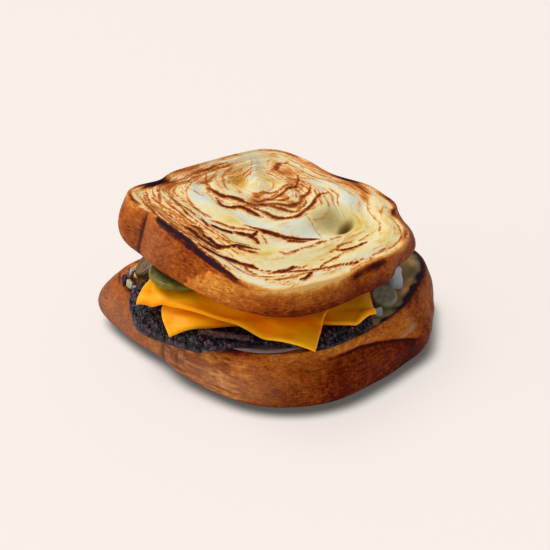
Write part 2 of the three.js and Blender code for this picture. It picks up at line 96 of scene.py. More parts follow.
TOP = {
    "middle": (11.5, -5),
    "rim": (50, 56.5, [(-55, 5.5, 14), (-20, 1.8, 12), (41, -3, 12), (56, -8, 12), (70, 1.8, 8),
                       (86, 2.5, 8), (108, -5.5, 13), (124, -1.2, 7), (138, 1, 9), (-149, -3.5, 9),
                       (-134, 2, 10), (-111, -4, 16)]),
    "belly_middle": (9.5, -6),
    "belly": (55.5, 58, [(-50, -2, 14), (27, -2, 9), (38, -6, 16), (-118, -3, 12)]),
    "belly_depth": 0.72,
    "foot_inset": 5,
    "foot_tucks": [],
    "creases": [(-117, 5, 1.4), (-117, 0.8, 1.0)],
    "peel": (-67, -23, 26, 0.8),
    "face": (64, 0.129, 0.12),
    "foot": (44.4, 0.031, 0.094),
    "rings": (24, 44, 116),
}
SWIRL = {"core": (-14, 8), "turns": 4.5, "ridge": 0.7, "start": 0.12, "lead": math.radians(40)}
# A mound is (middle x, middle y, half length, half width, degrees turned, height).
CORE_HOLLOW = (-18, 3, 6.5, 4, -45, -2.4)
CORE_FLAP = (-19, 13, 13, 3, -40, 1.4)
AIR_POCKET = (31, 14, 17, 8, 100, -4.2)
for label, shape in (("bottom", BOTTOM), ("top", TOP)):
    print(label, "slice:", 2 * shape["belly"][0], "x", 2 * shape["belly"][1], "mm at its belly")


def on_ground(points):
    """Points of the working grid, in metres on the ground."""
    return (np.asarray(points, float) - FOOTPRINT_MIDDLE) * 0.001


# %% [markdown]
# ## Randomness that stays the same
# Bread and meat need relief at several sizes. `relief` gives smooth bumps about one unit across, from
# -1 to 1, and `layered_relief` adds finer ones on top. `cells` gives the distance to the nearest of a
# cloud of scattered points, which is what crumbled meat looks like. Each has a fixed seed.

# %% Seeded relief
def corner_value(i, j, k, seed):
    """A fixed random number from -1 to 1 for each corner of a lattice."""
    whole = np.uint32
    mixed = (i.astype(whole) * whole(374761393)) ^ (j.astype(whole) * whole(668265263))
    mixed = mixed ^ (k.astype(whole) * whole(1440662683)) ^ whole(seed)
    mixed = (mixed ^ (mixed >> whole(13))) * whole(1274126177)
    return (mixed ^ (mixed >> whole(16))) / 2147483648.0 - 1.0


def relief(points, seed):
    """Smooth random relief at points given in units of its bump size."""
    base = np.floor(points).astype(np.int64)
    t = points - base
    t = t * t * (3 - 2 * t)
    total = np.zeros(points.shape[:-1])
    for dx in (0, 1):
        for dy in (0, 1):
            for dz in (0, 1):
                weight = (t[..., 0] if dx else 1 - t[..., 0]) * (t[..., 1] if dy else 1 - t[..., 1])
                weight = weight * (t[..., 2] if dz else 1 - t[..., 2])
                corner = base + np.array([dx, dy, dz])
                total += weight * corner_value(corner[..., 0], corner[..., 1], corner[..., 2], seed)
    return total


def layered_relief(points, seed, layers=3):
    """Relief with finer relief on top."""
    total = np.zeros(points.shape[:-1])
    for layer in range(layers):
        total += relief(points * 2.1**layer + 17.3 * layer, seed + layer) * 0.5**layer
    return total / (2 - 0.5 ** (layers - 1))


def cells(points, seed):
    """The distances to the nearest and the second nearest of a cloud of scattered points."""
    base = np.floor(points).astype(np.int64)
    near = np.full(points.shape[:-1], 9.0)
    second = near.copy()
    for dx in (-1, 0, 1):
        for dy in (-1, 0, 1):
            for dz in (-1, 0, 1):
                i, j, k = base[..., 0] + dx, base[..., 1] + dy, base[..., 2] + dz
                spot = [corner_value(i, j, k, seed + n) * 0.5 + 0.5 for n in (0, 1, 2)]
                away = np.sqrt((i + spot[0] - points[..., 0]) ** 2 + (j + spot[1] - points[..., 1]) ** 2
                               + (k + spot[2] - points[..., 2]) ** 2)
                second = np.minimum(second, np.maximum(near, away))
                near = np.minimum(near, away)
    return near, second


def smooth(x, low, high):
    """0 below low, 1 above high, and a smooth rise between."""
    t = np.clip((x - low) / (high - low), 0, 1)
    return t * t * (3 - 2 * t)


def span(x, start, full, last, end):
    """0 up to start, 1 from full to last, and 0 again from end."""
    return smooth(x, start, full) * (1 - smooth(x, last, end))


def stacked(*parts):
    """Arrays side by side as points."""
    return np.stack(np.broadcast_arrays(*parts), axis=-1)


# %% [markdown]
# ## From rings to a mesh
# Each piece is a stack of closed rings with a point at either end, so it is a closed body from the
# start. `push_out` moves points along their own normals, which is how a displacement works.

# %% Ring meshes
def ring_normals(rows):
    """Outward normals of stacked rings of points."""
    around = np.roll(rows, -1, axis=1) - np.roll(rows, 1, axis=1)
    along = np.gradient(rows, axis=0)
    normals = np.cross(around, along)
    return normals / (np.linalg.norm(normals, axis=2, keepdims=True) + 1e-9)


def push_out(rows, height):
    """Rings moved along their normals by a height in millimetres."""
    return rows + ring_normals(rows) * height[..., None]


def ring_grid(around, *levels, start=-np.pi):
    """The angle round each ring, and numbers given for each ring, as whole grids."""
    angle = np.linspace(start, start + 2 * np.pi, around, endpoint=False)
    return np.broadcast_arrays(angle[None, :], *(level[:, None] for level in levels))


def ring_mesh(name, rows, marks):
    """A closed mesh from rings of points on the grid, with a number at each point for each mark."""
    count, segments = rows.shape[:2]
    points = np.vstack([rows.reshape(-1, 3), [rows[0].mean(axis=0)], [rows[-1].mean(axis=0)]])
    i, j = np.meshgrid(np.arange(count - 1), np.arange(segments), indexing="ij")
    a = (i * segments + j).ravel()
    b = (i * segments + (j + 1) % segments).ravel()
    quads = np.stack([a, b, b + segments, a + segments], axis=1)
    j = np.arange(segments)
    after = (j + 1) % segments
    last = (count - 1) * segments
    low_fan = np.stack([np.full(segments, count * segments), after, j], axis=1)
    high_fan = np.stack([np.full(segments, count * segments + 1), last + j, last + after], axis=1)
    # Rings that run the wrong way round would turn the body inside out, so they are reversed.
    p = points[quads]
    volume = np.einsum("ij,ij->i", p[:, 0], np.cross(p[:, 1], p[:, 2]) + np.cross(p[:, 2], p[:, 3])).sum()
    if volume < 0:
        quads, low_fan, high_fan = quads[:, ::-1], low_fan[:, ::-1], high_fan[:, ::-1]
    mesh = bpy.data.meshes.new(name)
    mesh.from_pydata(on_ground(points).tolist(), [], quads.tolist() + low_fan.tolist() + high_fan.tolist())
    mesh.shade_smooth()
    for mark, values in marks.items():
        values = np.append(values.ravel(), [values[0].mean(), values[-1].mean()])
        mesh.attributes.new(mark, "FLOAT", "POINT").data.foreach_set("value", values.astype(np.float32))
    return mesh


def place_piece(name, mesh, material, nodes):
    """A finished piece: its object, its finish and the solids that it stands for."""
    piece = bpy.data.objects.new(name, mesh)
    bpy.context.scene.collection.objects.link(piece)
    mesh.materials.clear()
    mesh.materials.append(material)
    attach(piece, "root")
    if nodes:
        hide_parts(*nodes)
    print(f"{name}: {sum(len(p.vertices) - 2 for p in mesh.polygons)} triangles")


def place_rings(name, shape, material, node):
    """A piece made from rings and marks, in place of one solid. Its mesh comes back for later use."""
    mesh = ring_mesh(name, *shape)
    place_piece(name, mesh, material, [node])
    return mesh


# %% [markdown]
# ## Nodes by script
# A colour is written the way a picture editor shows it, and `linear` turns it into what a shader needs.
# `add_node` places one node of any kind with its settings and whatever feeds it. `grained` adds fine
# random grain to a number, layer by layer, because no food has an even colour or an even skin. Every
# food's material ends the same way, in `food_surface`: fine relief bends the light on the surface, and
# the shader takes the rest of its look.

# %% Node helpers
def linear(code):
    """A colour such as #c87a3c as linear red, green, blue and 1."""
    parts = [int(code[n:n + 2], 16) / 255 for n in (1, 3, 5)]
    return tuple(v / 12.92 if v <= 0.04045 else ((v + 0.055) / 1.055) ** 2.4 for v in parts) + (1.0,)


def add_node(tree, kind, feeds=None, stops=None, **settings):
    """A node with its settings. Each feed is a number, a colour, another node or one output of it."""
    node = tree.nodes.new(kind)
    for key, value in settings.items():
        setattr(node, key, value)
    for key, value in (feeds or {}).items():
        if isinstance(value, bpy.types.Node):
            value = next(output for output in value.outputs if output.enabled)
        if isinstance(value, bpy.types.NodeSocket):
            tree.links.new(value, node.inputs[key])
        else:
            node.inputs[key].default_value = value
    if stops:
        elements = node.color_ramp.elements
        while len(elements) < len(stops):
            elements.new(0.5)
        for element, (position, code) in zip(elements, stops):
            element.position = position
            element.color = linear(code)
    return node


def grained(tree, place, value, layers):
    """A number with layers of grain added, each of them (millimetres across, detail, amount)."""
    for millimetres, detail, amount in layers:
        noise = add_node(tree, "ShaderNodeTexNoise", {"Vector": place, "Scale": 1000 / millimetres,
                                                     "Detail": detail, "Roughness": 0.55})
        even = add_node(tree, "ShaderNodeMath", {0: noise, 1: 0.5}, operation="SUBTRACT")
        value = add_node(tree, "ShaderNodeMath", {0: even, 1: amount, 2: value}, operation="MULTIPLY_ADD")
    return value


def new_material(name, *marks):
    """An empty material, its tree, where its points lie on the piece, and the piece's marks."""
    material = bpy.data.materials.new(name)
    material.use_nodes = True
    tree = material.node_tree
    tree.nodes.clear()
    place = add_node(tree, "ShaderNodeTexCoord").outputs["Object"]
    read = [add_node(tree, "ShaderNodeAttribute", attribute_name=mark).outputs["Fac"] for mark in marks]
    return material, tree, place, read


def food_surface(tree, height, strength, depth, look):
    """The end of a food's material: bump of a height in metres, the shader with its look, the output."""
    bump = add_node(tree, "ShaderNodeBump", {"Height": height, "Strength": strength, "Distance": depth})
    shader = add_node(tree, "ShaderNodeBsdfPrincipled", {"Normal": bump, **look})
    add_node(tree, "ShaderNodeOutputMaterial", {"Surface": shader})
    print("food finish:", len(tree.nodes), "nodes")


# %% [markdown]
# ## Shapes of the bread
# The slices are rounded squares with a few bulges and hollows, cut flat above and below. Between the
# cut faces the crust bellies out. The same functions made the solids, so the fine mesh lies on them.

# %% Bread outlines
def turn_between(a, b):
    """The difference between two angles, from -pi to pi."""
    return np.mod(a - b + np.pi, 2 * np.pi) - np.pi


def near_turn(angle, degrees, half_width):
    """1 in a direction in degrees, falling smoothly to 0 past a half width in degrees."""
    off = turn_between(angle, np.radians(degrees)) / np.radians(half_width)
    return np.exp(-off * off)


def bread_outline(shape, middle, angle):
    """The point of a bread outline at an angle."""
    half_width, half_depth, lobes = shape
    squared = ((np.abs(np.cos(angle)) / half_width) ** SQUARENESS
               + (np.abs(np.sin(angle)) / half_depth) ** SQUARENESS)
    radius = squared ** (-1 / SQUARENESS)
    for degrees, height, width in lobes:
        radius = radius + height * near_turn(angle, degrees, width)
    return stacked(middle[0] + radius * np.cos(angle), middle[1] + radius * np.sin(angle))


def foot_inset(shape, angle):
    """How far a slice's foot is drawn in under its belly."""
    inset = shape["foot_inset"]
    for degrees, extra, width in shape["foot_tucks"]:
        inset = inset + extra * near_turn(angle, degrees, width)
    return inset


def mound(shape, x, y):
    """An oval mound: its height in its middle, falling smoothly to 0 outside."""
    at_x, at_y, long, wide, turned, height = shape
    c, s = math.cos(math.radians(turned)), math.sin(math.radians(turned))
    u = ((x - at_x) * c + (y - at_y) * s) / long
    v = (-(x - at_x) * s + (y - at_y) * c) / wide
    return height * np.exp(-(u * u + v * v))


def sum_of_mounds(mounds, x, y):
    """Several mounds added up."""
    return sum(mound(one, x, y) for one in mounds)


def crease_dent(crease, angle, depth):
    """How deep a crease that runs down the wall cuts into it."""
    degrees, width, cut = crease
    return cut * near_turn(angle, degrees, width) * np.sin(np.pi * np.minimum(depth + 0.12, 1))


def seam_at(angle):
    """How far down the wall the seam between two layers runs, as a share."""
    return np.interp(np.degrees(turn_between(angle, 0)), *zip(*BOTTOM["seam"]))


def seam_dent(angle, depth):
    """The groove between two layers, and how far the layer above it swells."""
    off = (depth - seam_at(angle)) / BOTTOM["seam_width"]
    fade = span(np.degrees(turn_between(angle, 0)), -34, -16, 8, 14) * np.minimum(1, depth * 12)
    return BOTTOM["seam_depth"] * fade * (np.exp(-off * off) - 0.5 * np.exp(-((off + 2) ** 2) / 2))


def past_peel(angle, depth):
    """How many degrees a point of the wall lies past the slanting edge of the peeled crust."""
    degrees, slant = TOP["peel"][:2]
    return np.degrees(turn_between(angle, np.radians(degrees + slant * depth)))


def peel_dent(angle, depth):
    """The low step at the edge of peeled crust, as a dent that stands out."""
    run, height = TOP["peel"][2:]
    return -height * span(past_peel(angle, depth), -2.5, 2.5, 5, run) * np.sin(np.pi * depth)


def swirl_turns(angle, out):
    """How many turns of the swirl lie between its core and a point."""
    return SWIRL["turns"] * out + (angle - SWIRL["lead"]) / (2 * np.pi)


def swirl_relief(angle, out, x, y):
    """The ridges of the swirl, the hollow and flap at its core, and the air pocket."""
    fade = span(out, 0, SWIRL["start"], 0.92, 1)
    ridges = SWIRL["ridge"] * np.cos(2 * np.pi * swirl_turns(angle, out)) * fade
    return ridges + sum_of_mounds((CORE_HOLLOW, CORE_FLAP, AIR_POCKET), x, y)


# %% [markdown]
# A slice is stacked from rings: across its underside, up its wall and across its face to the core.
# `slice_rows` returns the rings with what the later cells need to know about each point: its angle, how
# far out it lies on a cut face, and how deep on the wall.

# %% Slice rings
def slice_rows(shape, core, dent):
    """Rings of a bread slice, with the angle, the share out and the share down the wall of each point."""
    under, wall, face = shape["rings"]
    # The last ring at either end is small, and a point in its middle closes it.
    outs = np.concatenate([np.linspace(0.04, 1, under), np.ones(wall - 1), np.linspace(1, 0.008, face)])
    depths = np.concatenate([np.ones(under), 1 - np.arange(1, wall) / wall, np.zeros(face)])
    angle, out, depth = ring_grid(POINTS_AROUND, outs, depths)
    share = np.sin(np.minimum(depth / shape["belly_depth"], 1) * np.pi / 2)[..., None]
    rim = bread_outline(shape["rim"], shape["middle"], angle)
    belly = bread_outline(shape["belly"], shape["belly_middle"], angle)
    tucked = np.maximum(depth - shape["belly_depth"], 0) / (1 - shape["belly_depth"])
    drawn_in = foot_inset(shape, angle) * (1 - np.sqrt(1 - tucked * tucked)) + dent(angle, depth)
    drawn_in = drawn_in + sum(crease_dent(one, angle, depth) for one in shape["creases"])
    core = np.array(core, float)
    away = rim * (1 - share) + belly * share - core
    length = np.linalg.norm(away, axis=-1)
    plan = core + away * (1 - drawn_in / length)[..., None] * out[..., None]
    x, y = plan[..., 0], plan[..., 1]
    high, low = (height - fall_x * x - fall_y * y
                 for height, fall_x, fall_y in (shape["face"], shape["foot"]))
    return stacked(x, y, high * (1 - depth) + low * depth), angle, out, depth


# %% [markdown]
# ## Marks on the griddled face
# Where the edges of the layers met the griddle they are scorched in thin broken lines that wind with
# the swirl. A picture of them would blur close up, so they are lines with a width in millimetres. Each
# line below is a stroke: its scorch, its width, and the plan points it runs through.

# %% Scorch strokes
SCORCH_STROKES = [
    # The rings round the core, soft and brown.
    (0.70, 1.6, [(9, 31), (11, 21), (14, 14), (16.5, 7), (18.5, 0), (16.5, -5), (14, -9), (9, -11.5),
                 (5, -13), (0.5, -14.5)]),
    (0.62, 1.5, [(2, 27), (5, 22), (6, 17), (9, 13), (10, 8), (9, 2), (6, -4), (4, -9), (1, -14)]),
    (0.66, 1.5, [(-9, 30), (-5, 26), (-2, 21), (-1, 15), (0.5, 9), (2, 2), (0, -2), (-2, -4.5)]),
    (0.5, 1.3, [(-6, 27), (-3.5, 19), (-3, 12), (-3, 7), (-5, 2), (-6, -2)]),
    (0.55, 1.2, [(5, 9), (6, 5), (4, 1), (1.5, -2)]),
    (0.62, 1.6, [(15, 7), (14, 2), (10, -2), (7, -5), (5, -9)]),
    (0.72, 2.0, [(-20, -17), (-14, -17), (-9, -15), (-3, -13), (2, -12), (6, -10)]),
    (0.76, 1.6, [(-12, -19), (-8, -21.5), (-5, -22.5), (-2, -19), (1, -16), (5, -16), (9, -15), (11, -14)]),
    (0.42, 1.3, [(-29, 17), (-30, 12), (-28, 6), (-26, 0), (-23, -4), (-18, -8), (-12, -11)]),
    (0.5, 1.2, [(-32, -4), (-28, -10), (-23, -14), (-18, -17), (-16.5, -20)]),
    (0.34, 1.0, [(-31, 2), (-27, -4), (-22, -9), (-15, -13), (-9, -14.5)]),
    (0.6, 2.4, [(-21, 36), (-20, 28), (-18, 23.5), (-12, 24.5), (-8, 27)]),
    (0.3, 0.8, [(-30.5, 21), (-26, 17), (-21, 11), (-16, 4), (-13, 0)]),
    (0.3, 0.8, [(-28, 22), (-18, 19), (-8, 13), (-4, 5)]),
    (0.42, 0.9, [(19.5, 3.7), (27, 1), (35.7, -3.7)]),
    # Along the left.
    (0.46, 1.0, [(-30, -6), (-25.5, -20.5), (-20, -29.5), (-13, -34)]),
    (0.46, 0.9, [(-32, -27), (-27, -33), (-21, -38), (-11, -41.5)]),
    (0.5, 1.2, [(-18, -30.7), (-12.5, -33.5), (-6, -34.5), (0, -34)]),
    (0.7, 1.1, [(-17, -39.5), (-11, -41), (-6, -43), (-1.5, -43)]),
    (0.6, 0.9, [(-10, -38), (-4.5, -40), (-1.5, -41)]),
    (0.5, 0.8, [(-27, -39.5), (-20, -45), (-12.5, -49.5), (-4.7, -53), (3, -55)]),
    (0.5, 0.8, [(-30, -45), (-23.5, -49.5), (-16, -53), (-9, -55)]),
    (0.5, 0.8, [(-31, -34), (-24.7, -40.7), (-17, -47.3)]),
    (0.42, 0.8, [(-23.5, -34), (-18, -40.7), (-10, -46)]),
    # Along the front, crisp and nearly black.
    (0.75, 1.0, [(-1.5, -38.5), (2, -40.7), (5.3, -41.8), (7.5, -43)]),
    (0.9, 1.4, [(5.3, -40), (8.7, -39), (12, -36.8), (14.2, -35)]),
    (0.55, 1.2, [(1, -36), (6.5, -34.5), (11, -33), (15.3, -30.7), (19.8, -27.3), (22.5, -24)]),
    (0.9, 1.3, [(13, -34.5), (17.5, -33), (21, -32), (24, -32), (26.5, -32.3)]),
    (0.8, 1.4, [(19.8, -26), (21, -29.5), (21.5, -32.3)]),
    (0.6, 1.0, [(22, -27), (26, -28.5), (28, -30)]),
    (0.9, 1.5, [(29.8, -36), (26.5, -40.7), (24, -44), (22.5, -47.3), (18.7, -49.5), (14, -48.5),
                (9.8, -48)]),
    (0.8, 1.2, [(27.5, -41.8), (24, -46), (19.8, -50.7)]),
    (0.85, 1.5, [(-1.5, -49.5), (4, -50), (11, -50.7), (17.5, -51), (22, -50.7)]),
    (0.7, 1.0, [(1, -47.3), (8.7, -47.3), (12, -48.5)]),
    (1.0, 3.9, [(-9, -56), (-5, -57), (0, -57.6), (8, -58.2), (15.3, -59.6), (22, -61), (33, -62),
                (43, -62.4)]),
    (0.55, 1.2, [(-26, -50), (-18, -53), (-10, -55)]),
    (0.9, 1.9, [(42, -47.5), (34.5, -51), (28, -53.7), (23, -55.6), (14.5, -56)]),
    (0.62, 0.9, [(-26, -36), (-18, -38.5), (-8, -40), (0, -38)]),
    (0.58, 0.8, [(-33, -41), (-26, -46.5), (-18, -50.5), (-8, -53.5), (2, -54.5)]),
    (0.55, 0.8, [(-20, -42.5), (-10, -44.5), (0, -45.5), (6, -45)]),
    (0.66, 0.9, [(2, -52), (10, -53), (18, -53.6), (24, -53)]),
    (0.6, 0.8, [(26, -36.5), (24, -40), (20, -44), (14, -46.5)]),
    (0.75, 1.0, [(33.9, -40), (29.5, -43.7), (24.5, -45)]),
    (0.75, 1.0, [(45, -52), (39.5, -52.5), (35.7, -51)]),
    # Along the right.
    (0.8, 2.2, [(36.5, -6), (35, -10), (31.5, -15.5), (27, -20), (22, -24), (14, -28)]),
    (0.7, 1.6, [(36, -12.5), (33, -17), (29.7, -20)]),
    (0.6, 1.0, [(40, -25), (39.5, -30), (35.7, -31)]),
    (0.8, 1.2, [(48.3, 11), (49.5, 3.7), (48.9, -2.5), (45.7, -7.5)]),
    (0.6, 0.9, [(45, 5), (44.5, -1), (45, -6)]),
    (0.65, 0.8, [(49.5, -5), (51.4, -15), (53.2, -23.7), (55, -26)]),
    (0.8, 1.0, [(58.9, -6), (57.6, -15), (55.7, -23.7), (53.9, -30), (50.7, -35), (45.7, -43.7),
                (39.5, -48.7)]),
    (0.8, 1.2, [(49.5, -30), (47, -33.7), (47.6, -37.5), (45.7, -43.7)]),
    (0.85, 0.8, [(54.5, -30), (56.4, -37.5), (55.7, -41)]),
    (0.4, 0.8, [(59.5, 0), (60.7, -8.7), (62, -17.5)]),
    (0.35, 0.8, [(58, -43), (53, -49), (46, -56)]),
    (0.35, 0.8, [(60, -42), (56, -48), (50, -55)]),
    (0.35, 0.8, [(56, -40), (51, -47), (44, -53)]),
]


def smooth_line(points, steps=4):
    """A line's points with smooth ones between them."""
    p = np.array([points[0], *points, points[-1]], float)
    line = []
    for n in range(len(p) - 3):
        for t in np.arange(steps) / steps:
            a, b, c, d = p[n:n + 4]
            line.append(0.5 * (2 * b + (c - a) * t + (2 * a - 5 * b + 4 * c - d) * t * t
                               + (3 * b - a - 3 * c + d) * t**3))
    return np.array([*line, p[-1]])


def line_distance(x, y, line):
    """How far plan points lie from a line, on its outer side where positive, and the share along it."""
    best = np.full(x.shape, 99.0)
    share = np.zeros_like(best)
    outward = np.zeros_like(best)
    core_x, core_y = SWIRL["core"]
    steps = len(line) - 1
    for n, ((ax, ay), (bx, by)) in enumerate(zip(line[:-1], line[1:])):
        run = max((bx - ax) ** 2 + (by - ay) ** 2, 1e-9)
        t = np.clip(((x - ax) * (bx - ax) + (y - ay) * (by - ay)) / run, 0, 1)
        near_x, near_y = ax + t * (bx - ax), ay + t * (by - ay)
        away = np.hypot(x - near_x, y - near_y)
        closer = away < best
        best = np.where(closer, away, best)
        share = np.where(closer, (n + t) / steps, share)
        beyond = np.hypot(x - core_x, y - core_y) - np.hypot(near_x - core_x, near_y - core_y)
        outward = np.where(closer, beyond, outward)
    return best, np.where(outward >= 0, best, -best), share


def scorch_lines(x, y, strokes):
    """The scorch that broken strokes leave at plan points, and the lips that the layers raise there."""
    flat = stacked(x, y, 0 * x)
    wobble_x = x + 0.4 * relief(flat / 5.1, 61) + 0.24 * relief(flat / 1.3, 62)
    wobble_y = y + 0.4 * relief(flat / 5.3, 63) + 0.24 * relief(flat / 1.4, 64)
    swell = 1 + 0.45 * relief(flat / 3.4, 65) + 0.35 * relief(flat / 1.1, 66)
    beside = 1.7 + 0.7 * relief(flat / 6, 67)
    broken = smooth(relief(flat / 4, 68) + 0.4 * relief(flat / 1.6, 69), -0.1, 0.4)
    scorch, lip, groove = np.zeros_like(x), np.zeros_like(x), np.zeros_like(x)
    for strength, width, points in strokes:
        line = smooth_line(points)
        soft = 1 - smooth(np.linalg.norm(line.mean(axis=0) - SWIRL["core"]), 20, 36)
        (left, front), (right, back) = line.min(axis=0) - 6, line.max(axis=0) + 6
        near = (wobble_x > left) & (wobble_x < right) & (wobble_y > front) & (wobble_y < back)
        away, side, share = line_distance(wobble_x[near], wobble_y[near], line)
        taper = 0.3 + 0.7 * span(share, 0, 0.2, 0.8, 1)
        inside = span(share, 0.01, 0.06, 0.94, 0.99)
        half = (0.54 + 0.14 * soft) * width * swell[near] * taper
        core = np.exp(-((away / half) ** 2) ** 1.3)
        halo = (0.46 + 0.1 * soft) * np.exp(-((away / (3 * half)) ** 2)) * np.where(side > 0, 1, 0.6)
        second = np.exp(-(((side - beside[near] * width) / (0.5 * half)) ** 2))
        second = 0.6 * inside * broken[near] * second
        scorch[near] = np.maximum(scorch[near], strength * np.maximum(np.maximum(core, halo), second))
        rise = strength * taper * (1 - smooth(side, -0.2, 0.45)) * np.exp(np.minimum(side, 0) / 2.6)
        lip[near] = np.maximum(lip[near], rise * inside)
        cut = strength * inside * np.exp(-(((side - 0.8) / 0.7) ** 2))
        groove[near] = np.maximum(groove[near], cut)
    return np.clip(scorch, 0, 1), 0.55 * lip - 0.35 * groove


print("scorch strokes:", len(SCORCH_STROKES))

# %% [markdown]
# Between the strokes the thin edges of the layers are streaked gold and tan. These streaks follow the
# swirl, so they are drawn by a rule: short arcs that wind in towards the core, more of them where the
# face is more toasted. The draw is seeded.

# %% Swirl streaks
STREAKS = 210
STREAK_SEED = 5
STREAK_DENSITY = [(-32, -20, 20, 6, 82, 0.3), (-12, -44, 26, 9, -18, 0.75), (16, -50, 22, 8, 6, 0.6),
                  (-8, 10, 24, 20, 30, 0.6), (52, -30, 20, 6, 70, 0.35), (46, 10, 26, 9, 95, 0.3)]


def swirl_streaks(count, seed):
    """Strokes that follow the swirl of the top slice."""
    draw = np.random.default_rng(seed)
    core = np.array(SWIRL["core"], float)
    strokes = []
    while len(strokes) < count:
        angle = draw.uniform(-np.pi, np.pi) + np.linspace(0, draw.uniform(0.2, 0.9), 6)
        out = np.sqrt(draw.uniform(0.03, 0.94)) - (angle - angle[0]) / (2 * np.pi * SWIRL["turns"])
        edge = bread_outline(TOP["rim"], TOP["middle"], angle)
        points = core + (edge - core) * out[:, None]
        if draw.random() < sum_of_mounds(STREAK_DENSITY, *points[3]):
            strokes.append((draw.uniform(0.22, 0.56), draw.uniform(0.5, 0.95), points))
    return strokes


# %% [markdown]
# Broad toasting, pale damp patches and yellow buttery ones are soft mounds of colour on the same plan.

# %% Broad marks on the face
TOAST_MOUNDS = [
    (-37, 6, 14, 2.6, 88, 0.12), (-37.5, -14, 12, 2, 88, 0.4), (-34, -34, 9, 5.5, 75, 1.0),
    (-30, -45, 12, 6, -40, 0.1), (7, 48, 11, 4.5, -5, 0.62), (23, 38, 9, 2.2, -60, 0.26),
    (18, 45, 9, 4, -35, 0.16), (3, -4, 14, 8, 60, 0.14), (-14, -6, 12, 4, -30, 0.08),
    (-4, -50, 24, 5, -12, 0.04), (22, -52, 16, 5, 8, 0.06), (52, -6, 16, 2.5, 92, 0.06),
    (45, 30, 22, 2.5, -45, 0.16), (60, -30, 18, 3, 80, 0.06), (-30, 34, 8, 5, 60, 0.18),
    (-6, 42, 16, 4, -10, 0.14), (-13, -3, 6, 2.4, -20, 0.12), (-2, 14, 10, 16, 0, 0.12),
    (12, -51, 12, 4, -4, -0.2), (-20, 11, 13, 2.4, -52, -0.3), (-27, 4, 16, 5, 100, -0.16),
    (6, 12, 12, 3, 105, 0.1), (-15, 27, 9, 5, 60, 0.3), (-26, -32, 9, 4, -60, 0.08),
    (2, 28, 8, 6, 90, 0.12), (-13, 44, 14, 4, 8, 0.24), (24, 43, 8, 4, -35, 0.08),
    (-20, -17, 9, 5, -40, -0.4), (-15, -47, 14, 4, -20, -0.12), (52, -46, 9, 5, 45, -0.14),
    (14, -36, 8, 4, 10, -0.1), (-1, -5, 8, 4, -45, 0.42), (-8, 31, 8, 5, -20, 0.16),
    (-8, -42, 9, 4, -20, -0.16), (46, 38, 8, 4, -45, -0.2), (33, 37, 6, 4, -45, 0.18),
]
# Butter is 1 where the crumb is yellow, and 0 where it is a damp, bluish white.
BUTTER_MOUNDS = [
    (-20, 3, 9, 5, -35, 0.75), (-20, 11, 13, 2.2, -52, -0.7), (-10, 16, 8, 6, 40, 0.2),
    (44, 0, 30, 6, 95, 0.2), (35, -38, 14, 10, 20, 0.18), (25, 5, 14, 8, 95, 0.3),
    (18, 36, 14, 6, -70, -0.45), (27, -6, 9, 12, 40, -0.6), (-17, -25, 14, 4, -32, -0.6),
    (8, -22, 14, 5, 8, -0.3), (34, -56, 10, 3, 0, -0.4), (50, -36, 7, 7, 0, -0.15),
    (-34, 22, 8, 5, 80, -0.15), (4, 42, 6, 3, -50, -0.3), (-1, 6, 20, 4, 100, -0.15),
    # The mound at (32, 26) tones down the bright crumb at the back as painted shade.
    (32, 26, 14, 8, 120, 0.2), (4, -30, 16, 5, 5, 0.25),
]
# The mouth of the air pocket is cut in and painted dark as painted shade, and the crumb beside it gets
# painted shade in olive brown.
POCKET_MOUTH = (32, 16, 9, 3.4, 115, 1)
POCKET_SHADE = (25, 13, 15, 8.5, 105, 0.4)
print("broad marks:", len(TOAST_MOUNDS), "toasted,", len(BUTTER_MOUNDS), "damp or buttery")


# %% [markdown]
# The walls and the rim are browned unevenly too, by how each part of the dough met the tin and the
# griddle, and some tones are painted light: painted shade in the creases and under the patty, and a
# painted highlight along the top of the top slice's wall. A tone is (degrees, share down the wall, half
# width in degrees, half height, change).

# %% Tones of the crust
TOP_TONES = [
    # The tones at -117 degrees darken the crease as painted shade, and those at -36 and -4 degrees high on
    # the wall lighten its top as a painted highlight.
    (-150, 0.12, 14, 0.2, 0.1), (-149, 0.0, 8, 0.12, 0.5), (-140, 0.3, 12, 0.5, -0.01),
    (-117, 0.5, 1.6, 0.6, 0.16), (-108, 0.6, 14, 0.4, 0.07), (-117, 0.5, 0.6, 0.6, 0.4),
    (-90, 0.3, 12, 0.3, 0.05), (-122, 0.0, 14, 0.16, -0.12), (-36, 0.0, 22, 0.2, -0.62),
    (-121, 0.8, 5, 0.5, 0.08), (-72, 0.95, 10, 0.3, -0.04), (-85, 0.4, 7, 0.5, 0.06),
    (-62, 1.0, 10, 0.3, -0.08), (-56, 0.6, 10, 0.4, -0.1), (-35, 1.0, 34, 0.4, 0.3),
    (-34, 0.38, 14, 0.24, -0.12), (5, 0.9, 26, 0.5, 0.22), (5, 0.14, 8, 0.1, 0.52),
    (-9, 0.17, 3.5, 0.08, 0.46), (6, 0.36, 16, 0.2, -0.1), (-4, 0.0, 44, 0.05, -0.4),
    (-68, 0.0, 14, 0.16, 0.16), (-52, 0.0, 9, 0.06, 0.2), (32, 0.1, 13, 0.16, -0.26),
    (35, 0.4, 16, 0.5, 0.06), (80, 0.2, 40, 0.4, 0.16), (140, 0.2, 30, 0.3, 0.1),
]
